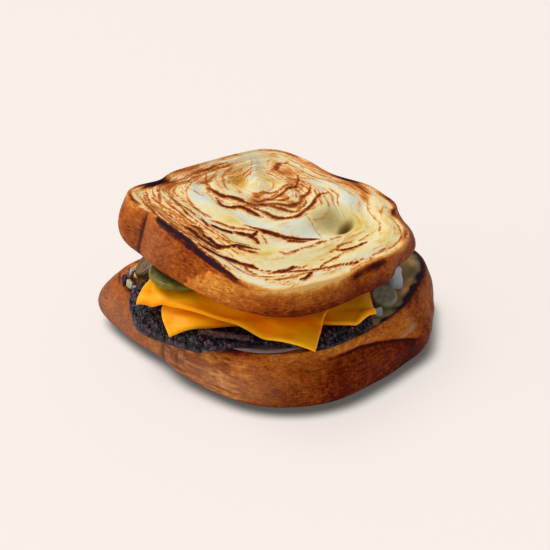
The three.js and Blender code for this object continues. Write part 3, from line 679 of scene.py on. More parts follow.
BOTTOM_TONES = [
    # The tones at -101, -92 and -88 degrees darken the creases as painted shade, and the one at -68 degrees
    # high on the wall darkens the crust under the patty as painted shade.
    (-142, 0.7, 12, 0.5, 0.1), (-126, 0.7, 18, 0.5, 0.1), (-108, 0.4, 7, 0.5, -0.1),
    (22, 0.3, 12, 0.2, -0.06), (-101, 0.5, 2.5, 0.6, 0.22), (-86, 0.5, 16, 0.4, 0.04),
    (-82, 0.02, 16, 0.12, 0.4), (-70, 0.4, 14, 0.5, -0.04), (-40, 0.7, 12, 0.5, 0.16),
    (-15, 0.75, 20, 0.45, 0.1), (14, 0.75, 16, 0.5, 0.16), (-42, 0.0, 18, 0.16, -0.2),
    (20, 0.5, 20, 0.5, 0.06), (120, 0.4, 80, 0.8, 0.06), (-101, 0.5, 0.7, 0.6, 0.25),
    (-92, 0.4, 0.7, 0.4, 0.3), (-88, 0.3, 0.6, 0.3, 0.2), (-68, 0.0, 12, 0.07, 0.4),
]
# Flour and butter dull the crust here, and on the bottom slice the same greyish film is also painted sheen.
TOP_DULL = [(-108, 0.4, 20, 0.6, 0.4), (-130, 0.9, 14, 0.3, 0.15)]
BOTTOM_DULL = [
    (-103, 0.5, 22, 0.5, 0.5), (-134, 0.5, 18, 0.6, 0.5), (-76, 0.6, 14, 0.4, 0.45),
    (36, 0.4, 8, 0.4, 0.2), (-55, 0.6, 14, 0.5, 0.4), (12, 0.3, 5, 0.05, 0.9), (7, 0.34, 2, 0.03, 1.0),
    (14, 0.2, 2, 0.07, 0.6),
]
# The rim of the top slice's cut face is browned here.
RIM_TONES = [
    (-128, 0, 16, 1, 0.36), (-80, 0, 30, 1, 0.42), (-4, 0, 20, 1, 0.2), (56, 0, 28, 1, 0.56),
    (88, 0, 16, 1, 0.5), (140, 0, 24, 1, 0.32), (-158, 0, 14, 1, 0.14),
]


def tone_at(tones, angle, depth):
    """The sum of the tones at points of a wall."""
    total = np.zeros(angle.shape)
    for degrees, down, half_turn, half_height, change in tones:
        u = np.degrees(turn_between(angle, np.radians(degrees))) / half_turn
        total += change * np.exp(-u * u - ((depth - down) / half_height) ** 2)
    return total


print("tones:", len(TOP_TONES), "on the top wall,", len(BOTTOM_TONES), "on the bottom wall")


# %% [markdown]
# ## Layers and crust
# Both slices are cut from one loaf, so the same rules give their thin layers, the relief of their crust
# and its mottle, with their own seeds.

# %% Layers and crust
# A share within this of 0 or 1 counts as 0 or 1.
HAIR = 1e-6


def slice_parts(depth):
    """Which points of a slice lie on its cut face, which under it and which on its wall."""
    on_face, under = depth < HAIR, depth > 1 - HAIR
    return on_face, under, ~on_face & ~under


def thin_layers(turns, angle, out, flat, seed):
    """The turns of the swirl with a wander, the relief of its thin layers and where their edges show."""
    turns = turns + relief(flat / 9, seed + 21) * 0.16 + relief(flat / 3, seed + 22) * 0.05
    layers = stacked(turns * 9, np.cos(angle) * out * 7, np.sin(angle) * out * 7)
    shown = np.abs(relief(layers * np.array([0.6, 0.5, 0.5]), seed + 35))
    return turns, layered_relief(layers, seed + 31, 2), 1 - smooth(shown, 0.0, 0.22)


def crusted(rows, lift, angle, depth, seed):
    """Rings of a slice with its faces lifted and its wall given the bumps and wrinkles of crust."""
    crust = layered_relief(stacked(angle * 9, rows[..., 2] / 7, np.cos(angle)), seed + 41, 2)
    rows = rows + stacked(0, 0, lift)
    wrinkle = layered_relief(rows / 2.3, seed + 45, 2)
    raised = np.sin(np.pi * depth) * (crust * 0.45 + wrinkle * 0.13)
    return push_out(rows, np.where(slice_parts(depth)[2], raised, 0))


def mottle(rows, seed):
    """Uneven baking, in patches of about 9 mm and specks of about 2 mm."""
    return 0.10 * layered_relief(rows / 9, seed + 71, 2) + 0.07 * relief(rows / 1.9, seed + 73)


def bread_marks(turns, **marks):
    """A slice's marks, with how the swirl winds at each point."""
    return {**marks, "wound_x": np.cos(2 * np.pi * turns), "wound_y": np.sin(2 * np.pi * turns)}


# %% [markdown]
# ## The top slice
# Croissant dough that is rolled up and baked in a square tin cuts into slices with a winding cut face
# and a smooth brown crust. The face is fine relief over the swirl: thin layers, scorched lips along the
# strokes, and the air pocket. Its marks say how toasted and buttery each point is, how baked it is with
# painted highlight and painted shade added on the crust, where it is crumb, where the crust has flour
# and painted sheen on it, and how much painted shade lies in and beside the air pocket.

# %% Top slice shape
def top_bake(angle, depth, rows):
    """How dark the top slice's crust is, from 0 to 1: its baking, with painted highlight and painted shade
    from its tones.
    """
    edge = 0.25 * smooth(depth, 0.9, 1) - 0.08 * (1 - smooth(depth, 0.02, 0.14))
    ragged = past_peel(angle, depth) + 3.5 * relief(rows / 3.2, 75) + 2 * relief(rows / 1.2, 76)
    peeled = span(ragged, -0.8, 0.8, 7, TOP["peel"][2]) * smooth(depth, 0.05, 0.16)
    return 0.47 + tone_at(TOP_TONES, angle, depth) + mottle(rows, 0) + edge - 0.26 * peeled


def top_slice():
    """The top slice's rings and its colour marks."""
    rows, angle, out, depth = slice_rows(TOP, SWIRL["core"], peel_dent)
    on_face, under, on_wall = slice_parts(depth)
    x, y = rows[..., 0], rows[..., 1]
    flat = stacked(x, y, 0 * x)
    scorch, lips = scorch_lines(x, y, SCORCH_STROKES + swirl_streaks(STREAKS, STREAK_SEED))
    scorch = scorch * (1 - smooth(depth + 0.02 * relief(flat / 3, 58), 0.03, 0.09))
    turns, thin, edges = thin_layers(swirl_turns(angle, out), angle, out, flat, 0)
    patchy = smooth(relief(flat / 7, 36), -0.2, 0.6)

    # The mouth is a dent, and its mark also paints it dark as painted shade.
    mouth = mound(POCKET_MOUTH, x, y) * on_face
    fine = thin * 0.14 + lips + edges * patchy * 0.1 - 0.16
    lift = swirl_relief(angle, out, x, y) - 1.4 * mouth + fine * (1 - smooth(out, 0.955, 1))
    lift = np.where(on_face, lift + 0.25 * span(out, 0.965, 0.985, 0.988, 1), 0)
    lift = lift - np.where(under, 0.25 * np.cos(2 * np.pi * turns) * (1 - smooth(out, 0.9, 1)), 0)
    rows = crusted(rows, lift, angle, depth, 0)

    toast = sum_of_mounds(TOAST_MOUNDS, x, y) * (1 + 0.4 * thin)
    toast = toast + edges * patchy * 0.22 + thin * 0.05 - 0.01
    griddled_rim = 0.05 + tone_at(RIM_TONES, angle, depth)
    toast = toast + griddled_rim * smooth(out, 0.935, 0.985) * (0.8 + 0.7 * relief(flat / 6, 52))
    underside = 0.35 + 0.3 * edges + 0.25 * relief(flat / 11, 53)
    toast = np.where(under, underside, np.maximum(toast, scorch))
    butter = 0.52 + sum_of_mounds(BUTTER_MOUNDS, x, y) + 0.12 * relief(flat / 8, 55) + 0.3 * thin
    crumb = np.where(on_face, 1 - smooth(out + 0.006 * relief(flat / 2, 57), 0.983, 0.998), 0)
    crumb = np.where(under, 1 - smooth(out, 0.93, 0.97), crumb)
    # Painted shade: dark in the pocket's mouth, olive brown on the crumb beside it.
    pocket = np.maximum(mouth, mound(POCKET_SHADE, x, y) * on_face)
    # The crust's mark carries its baking together with the painted highlight and painted shade of the
    # tones.
    bake = top_bake(angle, depth, rows) + scorch * 0.75
    dull = tone_at(TOP_DULL, angle, depth) * on_wall
    return rows, bread_marks(turns, toast=toast, butter=butter, crumb=crumb, bake=bake, dull=dull,
                             pocket=pocket)


# %% [markdown]
# ### Griddled bread
# The cut face is cooked crumb: cream to yellow, with a thin toasted skin that browns through gold to
# black. The crust is baked egg-washed dough, a satin red brown. One material holds both, because
# they run into each other at the rim, and the piece's marks say which is which.

# %% Streaks of the layers
def layer_streaks(tree, place, wound_x, wound_y):
    """Streaks that follow the swirl, from -0.5 to 0.5."""
    # They are a noise stretched along the swirl, about 1.2 mm across and 8 mm long. It reads the swirl's
    # own winding in two of its directions, and the plan place in the other two.
    plan = add_node(tree, "ShaderNodeSeparateXYZ", {0: place})
    along_x, along_y = (add_node(tree, "ShaderNodeMath", {0: plan.outputs[n], 1: 1000 / 8},
                                 operation="MULTIPLY") for n in (0, 1))
    wound = [add_node(tree, "ShaderNodeMath", {0: one, 1: 1.45}, operation="MULTIPLY")
             for one in (wound_x, wound_y)]
    winding = add_node(tree, "ShaderNodeCombineXYZ", {0: wound[0], 1: wound[1], 2: along_x})
    streaks = add_node(tree, "ShaderNodeTexNoise", {
        "Vector": winding, "W": along_y, "Scale": 1.0, "Detail": 5.0, "Roughness": 0.62},
        noise_dimensions="4D")
    return add_node(tree, "ShaderNodeMath", {0: streaks, 1: 0.5}, operation="SUBTRACT")


# %% Colour of the cut face
def face_colour(tree, place, streaks, toast, butter, pocket):
    """Crumb with its toasted skin, and olive brown painted shade where the mark for painted shade is set.
    """
    # Crumb is yellow where it is buttery, and a bluish white where it is damp.
    butter = add_node(tree, "ShaderNodeMath", {0: streaks, 1: 0.7, 2: butter}, operation="MULTIPLY_ADD")
    butter = grained(tree, place, butter, [(6.0, 3, 0.3)])
    damp = add_node(tree, "ShaderNodeValToRGB", {"Fac": butter}, stops=[
        (0.0, "#d6e2dc"), (0.3, "#e6e4c8"), (0.6, "#eadca4"), (0.85, "#dec066"), (1.0, "#d8a634")])
    # Its toasted skin goes from gold through brown to black. Its speckles are about a millimetre across.
    toast = add_node(tree, "ShaderNodeMath", {0: streaks, 1: 0.6, 2: toast}, operation="MULTIPLY_ADD")
    toast = grained(tree, place, toast, [(6.0, 3, 0.1), (1.1, 3, 0.26), (0.45, 2, 0.12)])
    browned = add_node(tree, "ShaderNodeValToRGB", {"Fac": toast}, stops=[
        (0.0, "#e8daaa"), (0.2, "#eec080"), (0.35, "#d88a44"), (0.5, "#a45828"), (0.65, "#6c341a"),
        (0.82, "#381c20"), (1.0, "#261a2a")])
    share = add_node(tree, "ShaderNodeMapRange", {"Value": toast, "From Min": 0.06, "From Max": 0.3})
    face = add_node(tree, "ShaderNodeMix", {0: share, 6: damp, 7: browned}, data_type="RGBA")
    # Painted shade in olive brown to dark brown, laid over the crumb in and beside the air pocket and under
    # the filling.
    hollow = add_node(tree, "ShaderNodeValToRGB", {"Fac": pocket}, stops=[
        (0.3, "#c2b27a"), (0.6, "#907c44"), (0.8, "#6c5428"), (1.0, "#463216")])
    inside = add_node(tree, "ShaderNodeMapRange", {"Value": pocket, "From Min": 0.08, "From Max": 0.5})
    return add_node(tree, "ShaderNodeMix", {0: inside, 6: face, 7: hollow}, data_type="RGBA")


# %% [markdown]
# The loaf was brushed with egg before it was baked, and its crust stretched as it rose. So it is smooth
# and satin with flat fibres in it, and it cracked finely as it cooled. Flour from the board and butter
# from the griddle dull it in places, and the same greyish film stands for painted sheen in others.

# %% Colour of the crust
def crust_colour(tree, place, bake, dull):
    """The colour of egg-washed crust, and the relief of its fibres."""
    # Its grain lies flat, about 2.6 mm long and a third as high.
    lying = add_node(tree, "ShaderNodeMapping", {"Vector": place, "Scale": (1.0, 1.0, 3.6)})
    fibre = grained(tree, lying, 0.0, [(2.6, 4, 1.0)])
    bake = grained(tree, place, bake, [(6.0, 3, 0.12), (1.1, 3, 0.34), (0.45, 2, 0.2)])
    bake = add_node(tree, "ShaderNodeMath", {0: fibre, 1: 0.46, 2: bake}, operation="MULTIPLY_ADD")
    # Fine cracks run through it, about 5 mm apart along the wall and 1.4 mm apart up it.
    wander = add_node(tree, "ShaderNodeTexNoise", {"Vector": lying, "Scale": 1000 / 3, "Detail": 2.0})
    bent = add_node(tree, "ShaderNodeVectorMath", {
        0: wander.outputs["Color"], 1: (0.005, 0.005, 0.005), 2: lying}, operation="MULTIPLY_ADD")
    apart = add_node(tree, "ShaderNodeTexVoronoi", {"Vector": bent, "Scale": 1000 / 5},
                     feature="DISTANCE_TO_EDGE")
    crack = add_node(tree, "ShaderNodeMapRange", {"Value": apart, "From Max": 0.07, "To Min": 0.13,
                                                 "To Max": 0.0})
    bake = add_node(tree, "ShaderNodeMath", {0: bake, 1: crack}, operation="ADD")
    crust = add_node(tree, "ShaderNodeValToRGB", {"Fac": bake}, stops=[
        (0.0, "#f4c070"), (0.15, "#e09a3c"), (0.3, "#c4722a"), (0.45, "#a8561a"), (0.6, "#883c0c"),
        (0.75, "#641602"), (0.88, "#44100e"), (1.0, "#2a1420")])
    # Flour and butter lie on it as a greyish film, in specks of about 1.6 mm, and the film is also painted
    # sheen.
    powdered = add_node(tree, "ShaderNodeMath", {0: grained(tree, place, dull, [(1.6, 3, 0.5)]), 1: dull},
                        operation="MULTIPLY")
    crust = add_node(tree, "ShaderNodeMix", {0: powdered, 6: crust, 7: linear("#a8866a")}, data_type="RGBA")
    return crust, fibre


# %% Griddled bread material
def bread_material():
    """Griddled laminated bread: crumb on the cut faces, egg-washed crust on the walls."""
    material, tree, place, marks = new_material(
        "griddled_laminated_bread", "toast", "butter", "crumb", "bake", "dull", "pocket", "wound_x",
        "wound_y")
    toast, butter, crumb, bake, dull, pocket, wound_x, wound_y = marks
    streaks = layer_streaks(tree, place, wound_x, wound_y)
    face = face_colour(tree, place, streaks, toast, butter, pocket)
    crust, fibre = crust_colour(tree, place, bake, dull)
    colour = add_node(tree, "ShaderNodeMix", {0: crumb, 6: crust, 7: face}, data_type="RGBA")
    skin = add_node(tree, "ShaderNodeMix", {0: crumb, 2: fibre, 3: streaks}, data_type="FLOAT")
    height = grained(tree, place, skin, [(1.1, 3, 0.5), (0.45, 2, 0.2)])
    food_surface(tree, height, 0.8, 0.0007, {
        "Base Color": colour, "Roughness": grained(tree, place, 0.52, [(1.1, 3, 0.3)]), "IOR": 1.45,
        "Specular IOR Level": 0.05, "Specular Tint": linear("#ffb078"), "Subsurface Weight": 0.06,
        "Subsurface Scale": 0.002})
    return material


BREAD = bread_material()
place_rings("top_slice_griddled", top_slice(), BREAD, "top_slice")

# %% [markdown]
# ## The bottom slice
# The same bread, seen mostly by its crust. On the right a layer has parted from the one below it and
# hangs over a dark seam, and the rim there is burnt. At the front left the crust flakes, and at the
# right gap the crumb is painted darker brown and olive as painted shade under the top slice, which a
# mark carries here.

# %% Bottom slice shape
def burnt_side(degrees):
    """1 on the side whose rim is burnt."""
    return span(degrees, -12, 6, 84, 100)


def gap_side(degrees):
    """1 on the side where the slices gape."""
    return span(degrees, -24, -4, 50, 80)


def bottom_bake(rows, start, angle, depth):
    """How dark the bottom slice's crust is, from 0 to 1: its baking, with painted shade at and under the
    seam and painted light above it, and where it flakes.
    """
    degrees = np.degrees(angle)
    seam = seam_at(angle)
    # Painted shade along the seam and under the layer that hangs over it, and painted light on that layer
    # just above the seam.
    groove = np.exp(-(((depth - seam) / 0.02) ** 2)) * span(degrees, -34, -20, 10, 16)
    parted = span(degrees, -38, -26, 12, 20)
    below = 0.12 * parted * smooth(depth, seam, seam + 0.015)
    above = -0.16 * parted * (1 - smooth(depth, seam - 0.03, seam - 0.01))
    bake = 0.46 + tone_at(BOTTOM_TONES, angle, depth) + mottle(rows, 100)
    bake = np.clip(bake + 0.5 * groove + 0.1 * smooth(depth, 0.9, 1) + below + above, 0, 0.98)
    flakes = layered_relief(stacked(np.cos(angle) * 14, np.sin(angle) * 14, start[..., 2] / 1.2), 163, 3)
    flaky = span(degrees + 3 * relief(start / 3, 164), -101, -97, -62, -59) * smooth(depth, 0.05, 0.2)
    flaky = flaky * slice_parts(depth)[2]
    flakes = flaky * smooth(flakes, -0.4, 0.5)
    return bake + 0.14 * flaky - 0.4 * flakes, flakes


def bottom_toast(degrees, out, flat, thin, edges, under):
    """How toasted the bottom slice's cut face is, from 0 to 1, with painted shade added as extra toast on
    the gap side.
    """
    toast = 0.16 + 0.42 * edges + 0.24 * relief(flat / 11, 153) + 0.2 * thin + 0.3 * smooth(out, 0.9, 0.97)
    burnt_rim = burnt_side(degrees) * smooth(out + 0.025 * relief(flat / 4, 156), 0.915, 0.945)
    toast = toast + burnt_rim * (0.36 + 0.3 * relief(flat / 3, 158))
    toast = np.where(under, 0.25 + 0.35 * edges + 0.25 * relief(flat / 11, 154), toast)
    # Painted shade: the crumb on the gap side is made a darker brown.
    return toast + gap_side(degrees) * (0.4 + 0.2 * relief(flat / 4, 161))


def bottom_slice():
    """The bottom slice's rings and its colour marks."""
    start, angle, out, depth = slice_rows(BOTTOM, BOTTOM["middle"], seam_dent)
    on_face, under, on_wall = slice_parts(depth)
    flat = start * np.array([1, 1, 0])
    turns = SWIRL["turns"] * out + angle / (2 * np.pi)
    turns, thin, edges = thin_layers(turns, angle, out, flat, 100)
    lift = np.where(on_face, (thin * 0.14 - 0.14) * (1 - smooth(out, 0.95, 1)), 0)
    lift = lift + np.where(under, (0.2 + 0.15 * thin) * (1 - smooth(out, 0.93, 1)), 0)
    rows = crusted(start, lift, angle, depth, 100)

    degrees = np.degrees(angle)
    bake, flakes = bottom_bake(rows, start, angle, depth)
    rim = 1 - smooth(depth + 0.06 * relief(flat / 3, 157), 0.02, 0.08)
    bake = bake + 0.14 * burnt_side(degrees) * ~under * rim
    toast = bottom_toast(degrees, out, flat, thin, edges, under)
    # Painted shade on the crumb: olive brown under the filling, deepest at the right gap.
    soaked = on_face * (0.16 + 0.12 * relief(flat / 8, 160) + 0.16 * gap_side(degrees))
    soaked = soaked * (1 - smooth(out + 0.03 * relief(flat / 5, 159), 0.93, 0.98))
    crumb = np.where(on_face, 1 - smooth(out, 0.985, 0.999), 0)
    crumb = np.where(under, 1 - smooth(out, 0.93, 0.97), crumb)
    butter = 0.5 + 0.15 * relief(flat / 8, 155)
    dull = tone_at(BOTTOM_DULL, angle, depth) * on_wall + 0.12 * flakes
    return rows, bread_marks(turns, toast=toast, butter=butter, crumb=crumb, bake=bake, dull=dull,
                             pocket=soaked)


place_rings("bottom_slice_griddled", bottom_slice(), BREAD, "bottom_slice")


# %% [markdown]
# ## The patty
# Smashed beef has a ragged rim and a crust of dark crumbles with deep gaps between them. The outline
# runs through named knots, and crumbles are cells pushed out of the surface.

# %% Patty shape
# A knot of the edge is (direction in degrees, distance from the middle, how far the rim droops).
PATTY = {
    "middle": (8, -14), "crown": 37.9, "fall_x": 0.018, "fall_front": 0, "fall_back": 0.1, "dome": 3,
    "rest_on": 28.3, "shoulder": 4, "shoulder_drop": 2.2, "crag": 0.8, "thinnest": 2,
    "dips": [(32, -49, 24, 11, 42, 5.6), (55, -19, 15, 12, 50, 5)],
    "edge": [
        (0, 56.5, 2.2), (10, 57.5, 2.2), (19, 52, 2.2), (28, 47.5, 2), (45, 46.5, 2), (90, 50, 2),
        (135, 52, 2), (175, 50, 2), (200, 44, 2), (214, 41.5, 2), (224, 46, 2), (231, 55.5, 3.5),
        (240, 57.5, 5), (252, 58.5, 5.6), (270, 54, 5.6), (288, 52.5, 4.4), (302, 51.5, 2.4),
        (315, 48, 0), (327, 51, 0.4), (338, 55, 2.2),
    ],
}
ONION_SLICE = {"middle": (25.8, -27.2), "radius": 30, "thickness": 1.6, "rings": 4}
GAP = 0.3
# Points round each ring, and the rings underneath, up the wall, over the shoulder and on top.
PATTY_RINGS = (620, 14, 49, 50, 12)


def through_knots(knots, column, angle):
    """A smooth closed curve of numbers through knots that start with an angle in degrees."""
    table = np.array(knots, float)
    count = len(table)
    degrees = np.mod(np.degrees(angle), 360)
    here = np.searchsorted(table[:, 0], degrees, side="right") - 1

    def knot(step):
        index = here + step
        return table[index % count, 0] + 360 * (index // count), table[index % count, column]

    (a0, a1), (b0, b1), (c0, c1), (d0, d1) = knot(-1), knot(0), knot(1), knot(2)
    width = c0 - b0
    slope_here = (c1 - a1) / (c0 - a0) * width
    slope_next = (d1 - b1) / (d0 - b0) * width
    t = (degrees - b0) / width
    return (b1 * (2 * t**3 - 3 * t * t + 1) + slope_here * (t**3 - 2 * t * t + t)
            + c1 * (3 * t * t - 2 * t**3) + slope_next * (t**3 - t * t))


def inside_patty(x, y):
    """How far plan points lie inside the patty's edge."""
    dx, dy = x - PATTY["middle"][0], y - PATTY["middle"][1]
    return through_knots(PATTY["edge"], 1, np.arctan2(dy, dx)) - np.hypot(dx, dy)


def patty_crown(x, y):
    """The height of the patty's broad top."""
    dx, dy = x - PATTY["middle"][0], y - PATTY["middle"][1]
    out = np.hypot(dx, dy) / 54
    fall_y = np.where(dy < 0, PATTY["fall_front"], PATTY["fall_back"])
    return (PATTY["crown"] - PATTY["fall_x"] * dx - fall_y * dy - PATTY["dome"] * out * out
            - sum_of_mounds(PATTY["dips"], x, y))


def support_below(x, y):
    """How low the patty can hang: onto the onion slice, onto the bread, or down past its rim."""
    mid_x, mid_y = BOTTOM["middle"]
    rim = bread_outline(BOTTOM["rim"], BOTTOM["middle"], np.arctan2(y - mid_y, x - mid_x))
    beyond = np.hypot(x - mid_x, y - mid_y) - np.hypot(rim[..., 0] - mid_x, rim[..., 1] - mid_y)
    bread = LOW_THICKNESS + GAP - np.maximum(beyond - 1.4, 0)
    past = np.hypot(x - ONION_SLICE["middle"][0], y - ONION_SLICE["middle"][1]) - ONION_SLICE["radius"] - 2
    return np.maximum(bread, PATTY["rest_on"] - 0.8 * np.maximum(past, 0))


def patty_top(x, y, inside):
    """The height of the patty's top with its rounded shoulder."""
    shoulder = 1 - smooth(inside, PATTY["shoulder"], PATTY["shoulder"] + 5)
    return patty_crown(x, y) - PATTY["shoulder_drop"] * shoulder


def patty_body():
    """The patty's rings with a ragged edge, the share up its wall, how far in, and how bare it lies."""
    around, under, wall, shoulder, crown = PATTY_RINGS
    outs = np.concatenate([np.linspace(0.1, 1, under), np.ones(wall), np.linspace(1, 0.72, shoulder),
                           np.linspace(0.7, 0.02, crown)])
    heights = np.concatenate([np.zeros(under), np.arange(1, wall + 1) / (wall + 1),
                              np.ones(shoulder + crown)])
    angle, out, height = ring_grid(around, outs, heights)
    edge = through_knots(PATTY["edge"], 1, angle)
    droop = through_knots(PATTY["edge"], 2, angle)
    radius = (edge - PATTY["shoulder"] * height**3) * out
    x = PATTY["middle"][0] + radius * np.cos(angle)
    y = PATTY["middle"][1] + radius * np.sin(angle)
    low = np.maximum(PATTY["rest_on"] - droop * smooth(radius, edge - 6, edge), support_below(x, y))
    high = np.maximum(patty_top(x, y, edge - radius), low + PATTY["thinnest"])
    z = low + (high - low) * height
    bare = 1 - smooth(edge - radius, 8, 13)
    rough = PATTY["crag"] * bare * relief(stacked(x, y, z) / 4, 7)
    side = rough * np.where(out > 1 - HAIR, 1.3, 0.4) * (height > HAIR)
    rows = stacked(x + side * np.cos(angle), y + side * np.sin(angle),
                   z + np.where(height > 1 - HAIR, rough * 0.6, 0))
    return rows, height, edge - radius, bare


def patty():
    """The patty's rings with crumbles pushed out of them, and its colour marks."""
    rows, height, inside, bare = patty_body()
    warped = rows + 0.8 * stacked(*(relief(rows / 2.2, s) for s in (81, 82, 83)))
    near, second = cells(warped / 3.3, 85)
    fine_near, fine_second = cells(warped / 1.3, 88)
    lumps = smooth(second - near, 0.0, 0.5) - 0.55
    crumbs = smooth(fine_second - fine_near, 0.0, 0.55) - 0.5
    show = bare * smooth(height, 0, 0.12)
    rows = push_out(rows, show * (lumps + 0.42 * crumbs))
    # The crevices between the crumbles get painted shade through this mark.
    gap = (0.7 * (1 - smooth(second - near, 0.02, 0.3))
           + 0.3 * (1 - smooth(fine_second - fine_near, 0.02, 0.3)))
    sear = 0.5 + 0.5 * layered_relief(rows / 5, 91, 2)
    bare_wall = show * smooth(inside, 7.5, 4) * (height > 0.3)
    return rows, {"gap": gap * show, "sear": sear, "bare": bare_wall}


# %% [markdown]
# ### Seared beef
# A smashed patty browns to a nearly black crust that shines where fat has pooled, with a painted
# blue-grey sheen as well. The gaps between crumbles get painted shade, and a few crumbles are a lighter
# brown.

# %% Seared beef material
def beef_material():
    """Seared minced beef: purple-brown to black crumbles with wet fat on them, painted shade between them
    and a painted blue-grey sheen.
    """
    material, tree, place, (gap, sear) = new_material("seared_minced_beef", "gap", "sear")
    sear = grained(tree, place, sear, [(3.4, 2, 0.7), (1.3, 3, 0.9)])
    # Painted shade darkens the crevices.
    shaded = add_node(tree, "ShaderNodeMath", {0: gap, 1: -0.5, 2: sear}, operation="MULTIPLY_ADD")
    colour = add_node(tree, "ShaderNodeValToRGB", {"Fac": shaded}, stops=[
        (0.0, "#040203"), (0.32, "#120812"), (0.54, "#321a28"), (0.76, "#5a3644"), (1.0, "#946a60")])
    # Patches about 2 mm across are painted blue-grey, a painted sheen of fat on the black crust.
    film = add_node(tree, "ShaderNodeMapRange", {"Value": grained(tree, place, 0.5, [(2.0, 2, 1.0)]),
                                                "From Min": 0.56, "From Max": 0.7, "To Max": 0.6})
    colour = add_node(tree, "ShaderNodeMix", {0: film, 6: colour, 7: linear("#5a5a7a")}, data_type="RGBA")
    height = grained(tree, place, 0.0, [(1.3, 3, 1.0), (0.4, 2, 0.4)])
    food_surface(tree, height, 0.9, 0.0006, {
        "Base Color": colour, "Roughness": grained(tree, place, 0.42, [(1.3, 3, 0.9)]), "IOR": 1.45,
        "Specular IOR Level": 0.2, "Coat Weight": 0.32, "Coat Roughness": 0.1})
    return material


BEEF = beef_material()
PATTY_MESH = place_rings("patty_seared", patty(), BEEF, "patty")


# %% [markdown]
# ### Loose crumbles
# Where the mince broke up on the griddle, small dark crumbles stand proud of the patty's shoulder. They
# repeat over a surface, so Geometry Nodes scatter them: points on the bare part of the patty, a lumpy
# ball on each, turned and sized at random, and all of it made real mesh at the end.

# %% Node groups
def new_group(name, inputs, result):
    """An empty node group with named inputs, each with its kind, and one geometry that it gives."""
    group = bpy.data.node_groups.new(name, "GeometryNodeTree")
    for label, kind in inputs.items():
        group.interface.new_socket(label, in_out="INPUT", socket_type="NodeSocket" + kind)
    group.interface.new_socket(result, in_out="OUTPUT", socket_type="NodeSocketGeometry")
    return group, add_node(group, "NodeGroupInput").outputs


def pushed_about(group, geometry, scale, detail, reach):
    """A geometry whose points noise has pushed about, and the noise."""
    place = add_node(group, "GeometryNodeInputPosition")
    noise = add_node(group, "ShaderNodeTexNoise", {"Vector": place, "Scale": scale, "Detail": detail})
    even = add_node(group, "ShaderNodeVectorMath", {0: noise.outputs["Color"], 1: (0.5, 0.5, 0.5)},
                    operation="SUBTRACT")
    push = add_node(group, "ShaderNodeVectorMath", {0: even, "Scale": reach}, operation="SCALE")
    return add_node(group, "GeometryNodeSetPosition", {"Geometry": geometry, "Offset": push}), noise


def end_group(group, geometry, finish):
    """The end of a group: smooth shading, real mesh and a finish."""
    soft = add_node(group, "GeometryNodeSetShadeSmooth", {0: geometry})
    real = add_node(group, "GeometryNodeRealizeInstances", {"Geometry": soft})
    done = add_node(group, "GeometryNodeSetMaterial", {"Geometry": real, "Material": finish})
    add_node(group, "NodeGroupOutput", {0: done})
    return group


def run_nodes(name, source, group, inputs):
    """A plain mesh of what a node group makes from a mesh. Inputs are set by their sockets' identifiers."""
    holder = bpy.data.objects.new(name + "_source", source)
    bpy.context.scene.collection.objects.link(holder)
    modifier = holder.modifiers.new(name, "NODES")
    modifier.node_group = group
    for item in group.interface.items_tree:
        if item.in_out == "INPUT" and item.name in inputs:
            modifier[item.identifier] = inputs[item.name]
    bpy.context.view_layer.update()
    evaluated = holder.evaluated_get(bpy.context.evaluated_depsgraph_get())
    mesh = bpy.data.meshes.new_from_object(evaluated)
    mesh.name = name
    holder.modifiers.remove(modifier)
    bpy.data.objects.remove(holder)
    print(f"{name}: {len(mesh.vertices)} points from the node group {group.name}")
    return mesh


# %% Crumble scatter
def crumble_scatter():
    """The node group that scatters crumbles over the bare part of a patty."""
    group, given = new_group("crumble_scatter", {
        "Patty": "Geometry", "Crumbles per square metre": "Float", "Smallest": "Float", "Largest": "Float",
        "Seed": "Int", "Finish": "Material"}, "Crumbles")
    seed = given["Seed"]
    bare = add_node(group, "GeometryNodeInputNamedAttribute", {"Name": "bare"}, data_type="FLOAT")
    density = add_node(group, "ShaderNodeMath", {0: bare, 1: given["Crumbles per square metre"]},
                       operation="MULTIPLY")
    points = add_node(group, "GeometryNodeDistributePointsOnFaces", {
        "Mesh": given["Patty"], "Density": density, "Seed": seed})
    ball = add_node(group, "GeometryNodeMeshIcoSphere", {"Radius": 1.0, "Subdivisions": 2})
    size = add_node(group, "FunctionNodeRandomValue", {
        2: given["Smallest"], 3: given["Largest"], "Seed": seed}, data_type="FLOAT")
    turn = add_node(group, "FunctionNodeRandomValue", {
        0: (0.0, 0.0, 0.0), 1: (6.28, 6.28, 6.28), "Seed": seed}, data_type="FLOAT_VECTOR")
    # A crumble is longer than it is wide, and flatter still.
    flat = add_node(group, "ShaderNodeCombineXYZ", {0: 1.25, 1: 0.95, 2: 0.75})
    scale = add_node(group, "ShaderNodeVectorMath", {0: flat, "Scale": size}, operation="SCALE")
    balls = add_node(group, "GeometryNodeInstanceOnPoints", {
        "Points": points.outputs["Points"], "Instance": ball.outputs["Mesh"], "Rotation": turn,
        "Scale": scale})
    # Each is seared to its own tone.
    tone = add_node(group, "FunctionNodeRandomValue", {2: 0.15, 3: 0.75, "Seed": seed}, data_type="FLOAT")
    toned = add_node(group, "GeometryNodeStoreNamedAttribute", {
        "Geometry": balls, "Name": "sear", "Value": tone}, data_type="FLOAT", domain="INSTANCE")
    real = add_node(group, "GeometryNodeRealizeInstances", {"Geometry": toned})
    # Dents about a millimetre apart make each ball lumpy.
    lumpy, _ = pushed_about(group, real, scale=1100.0, detail=1.0, reach=0.0013)
    return end_group(group, lumpy, given["Finish"])


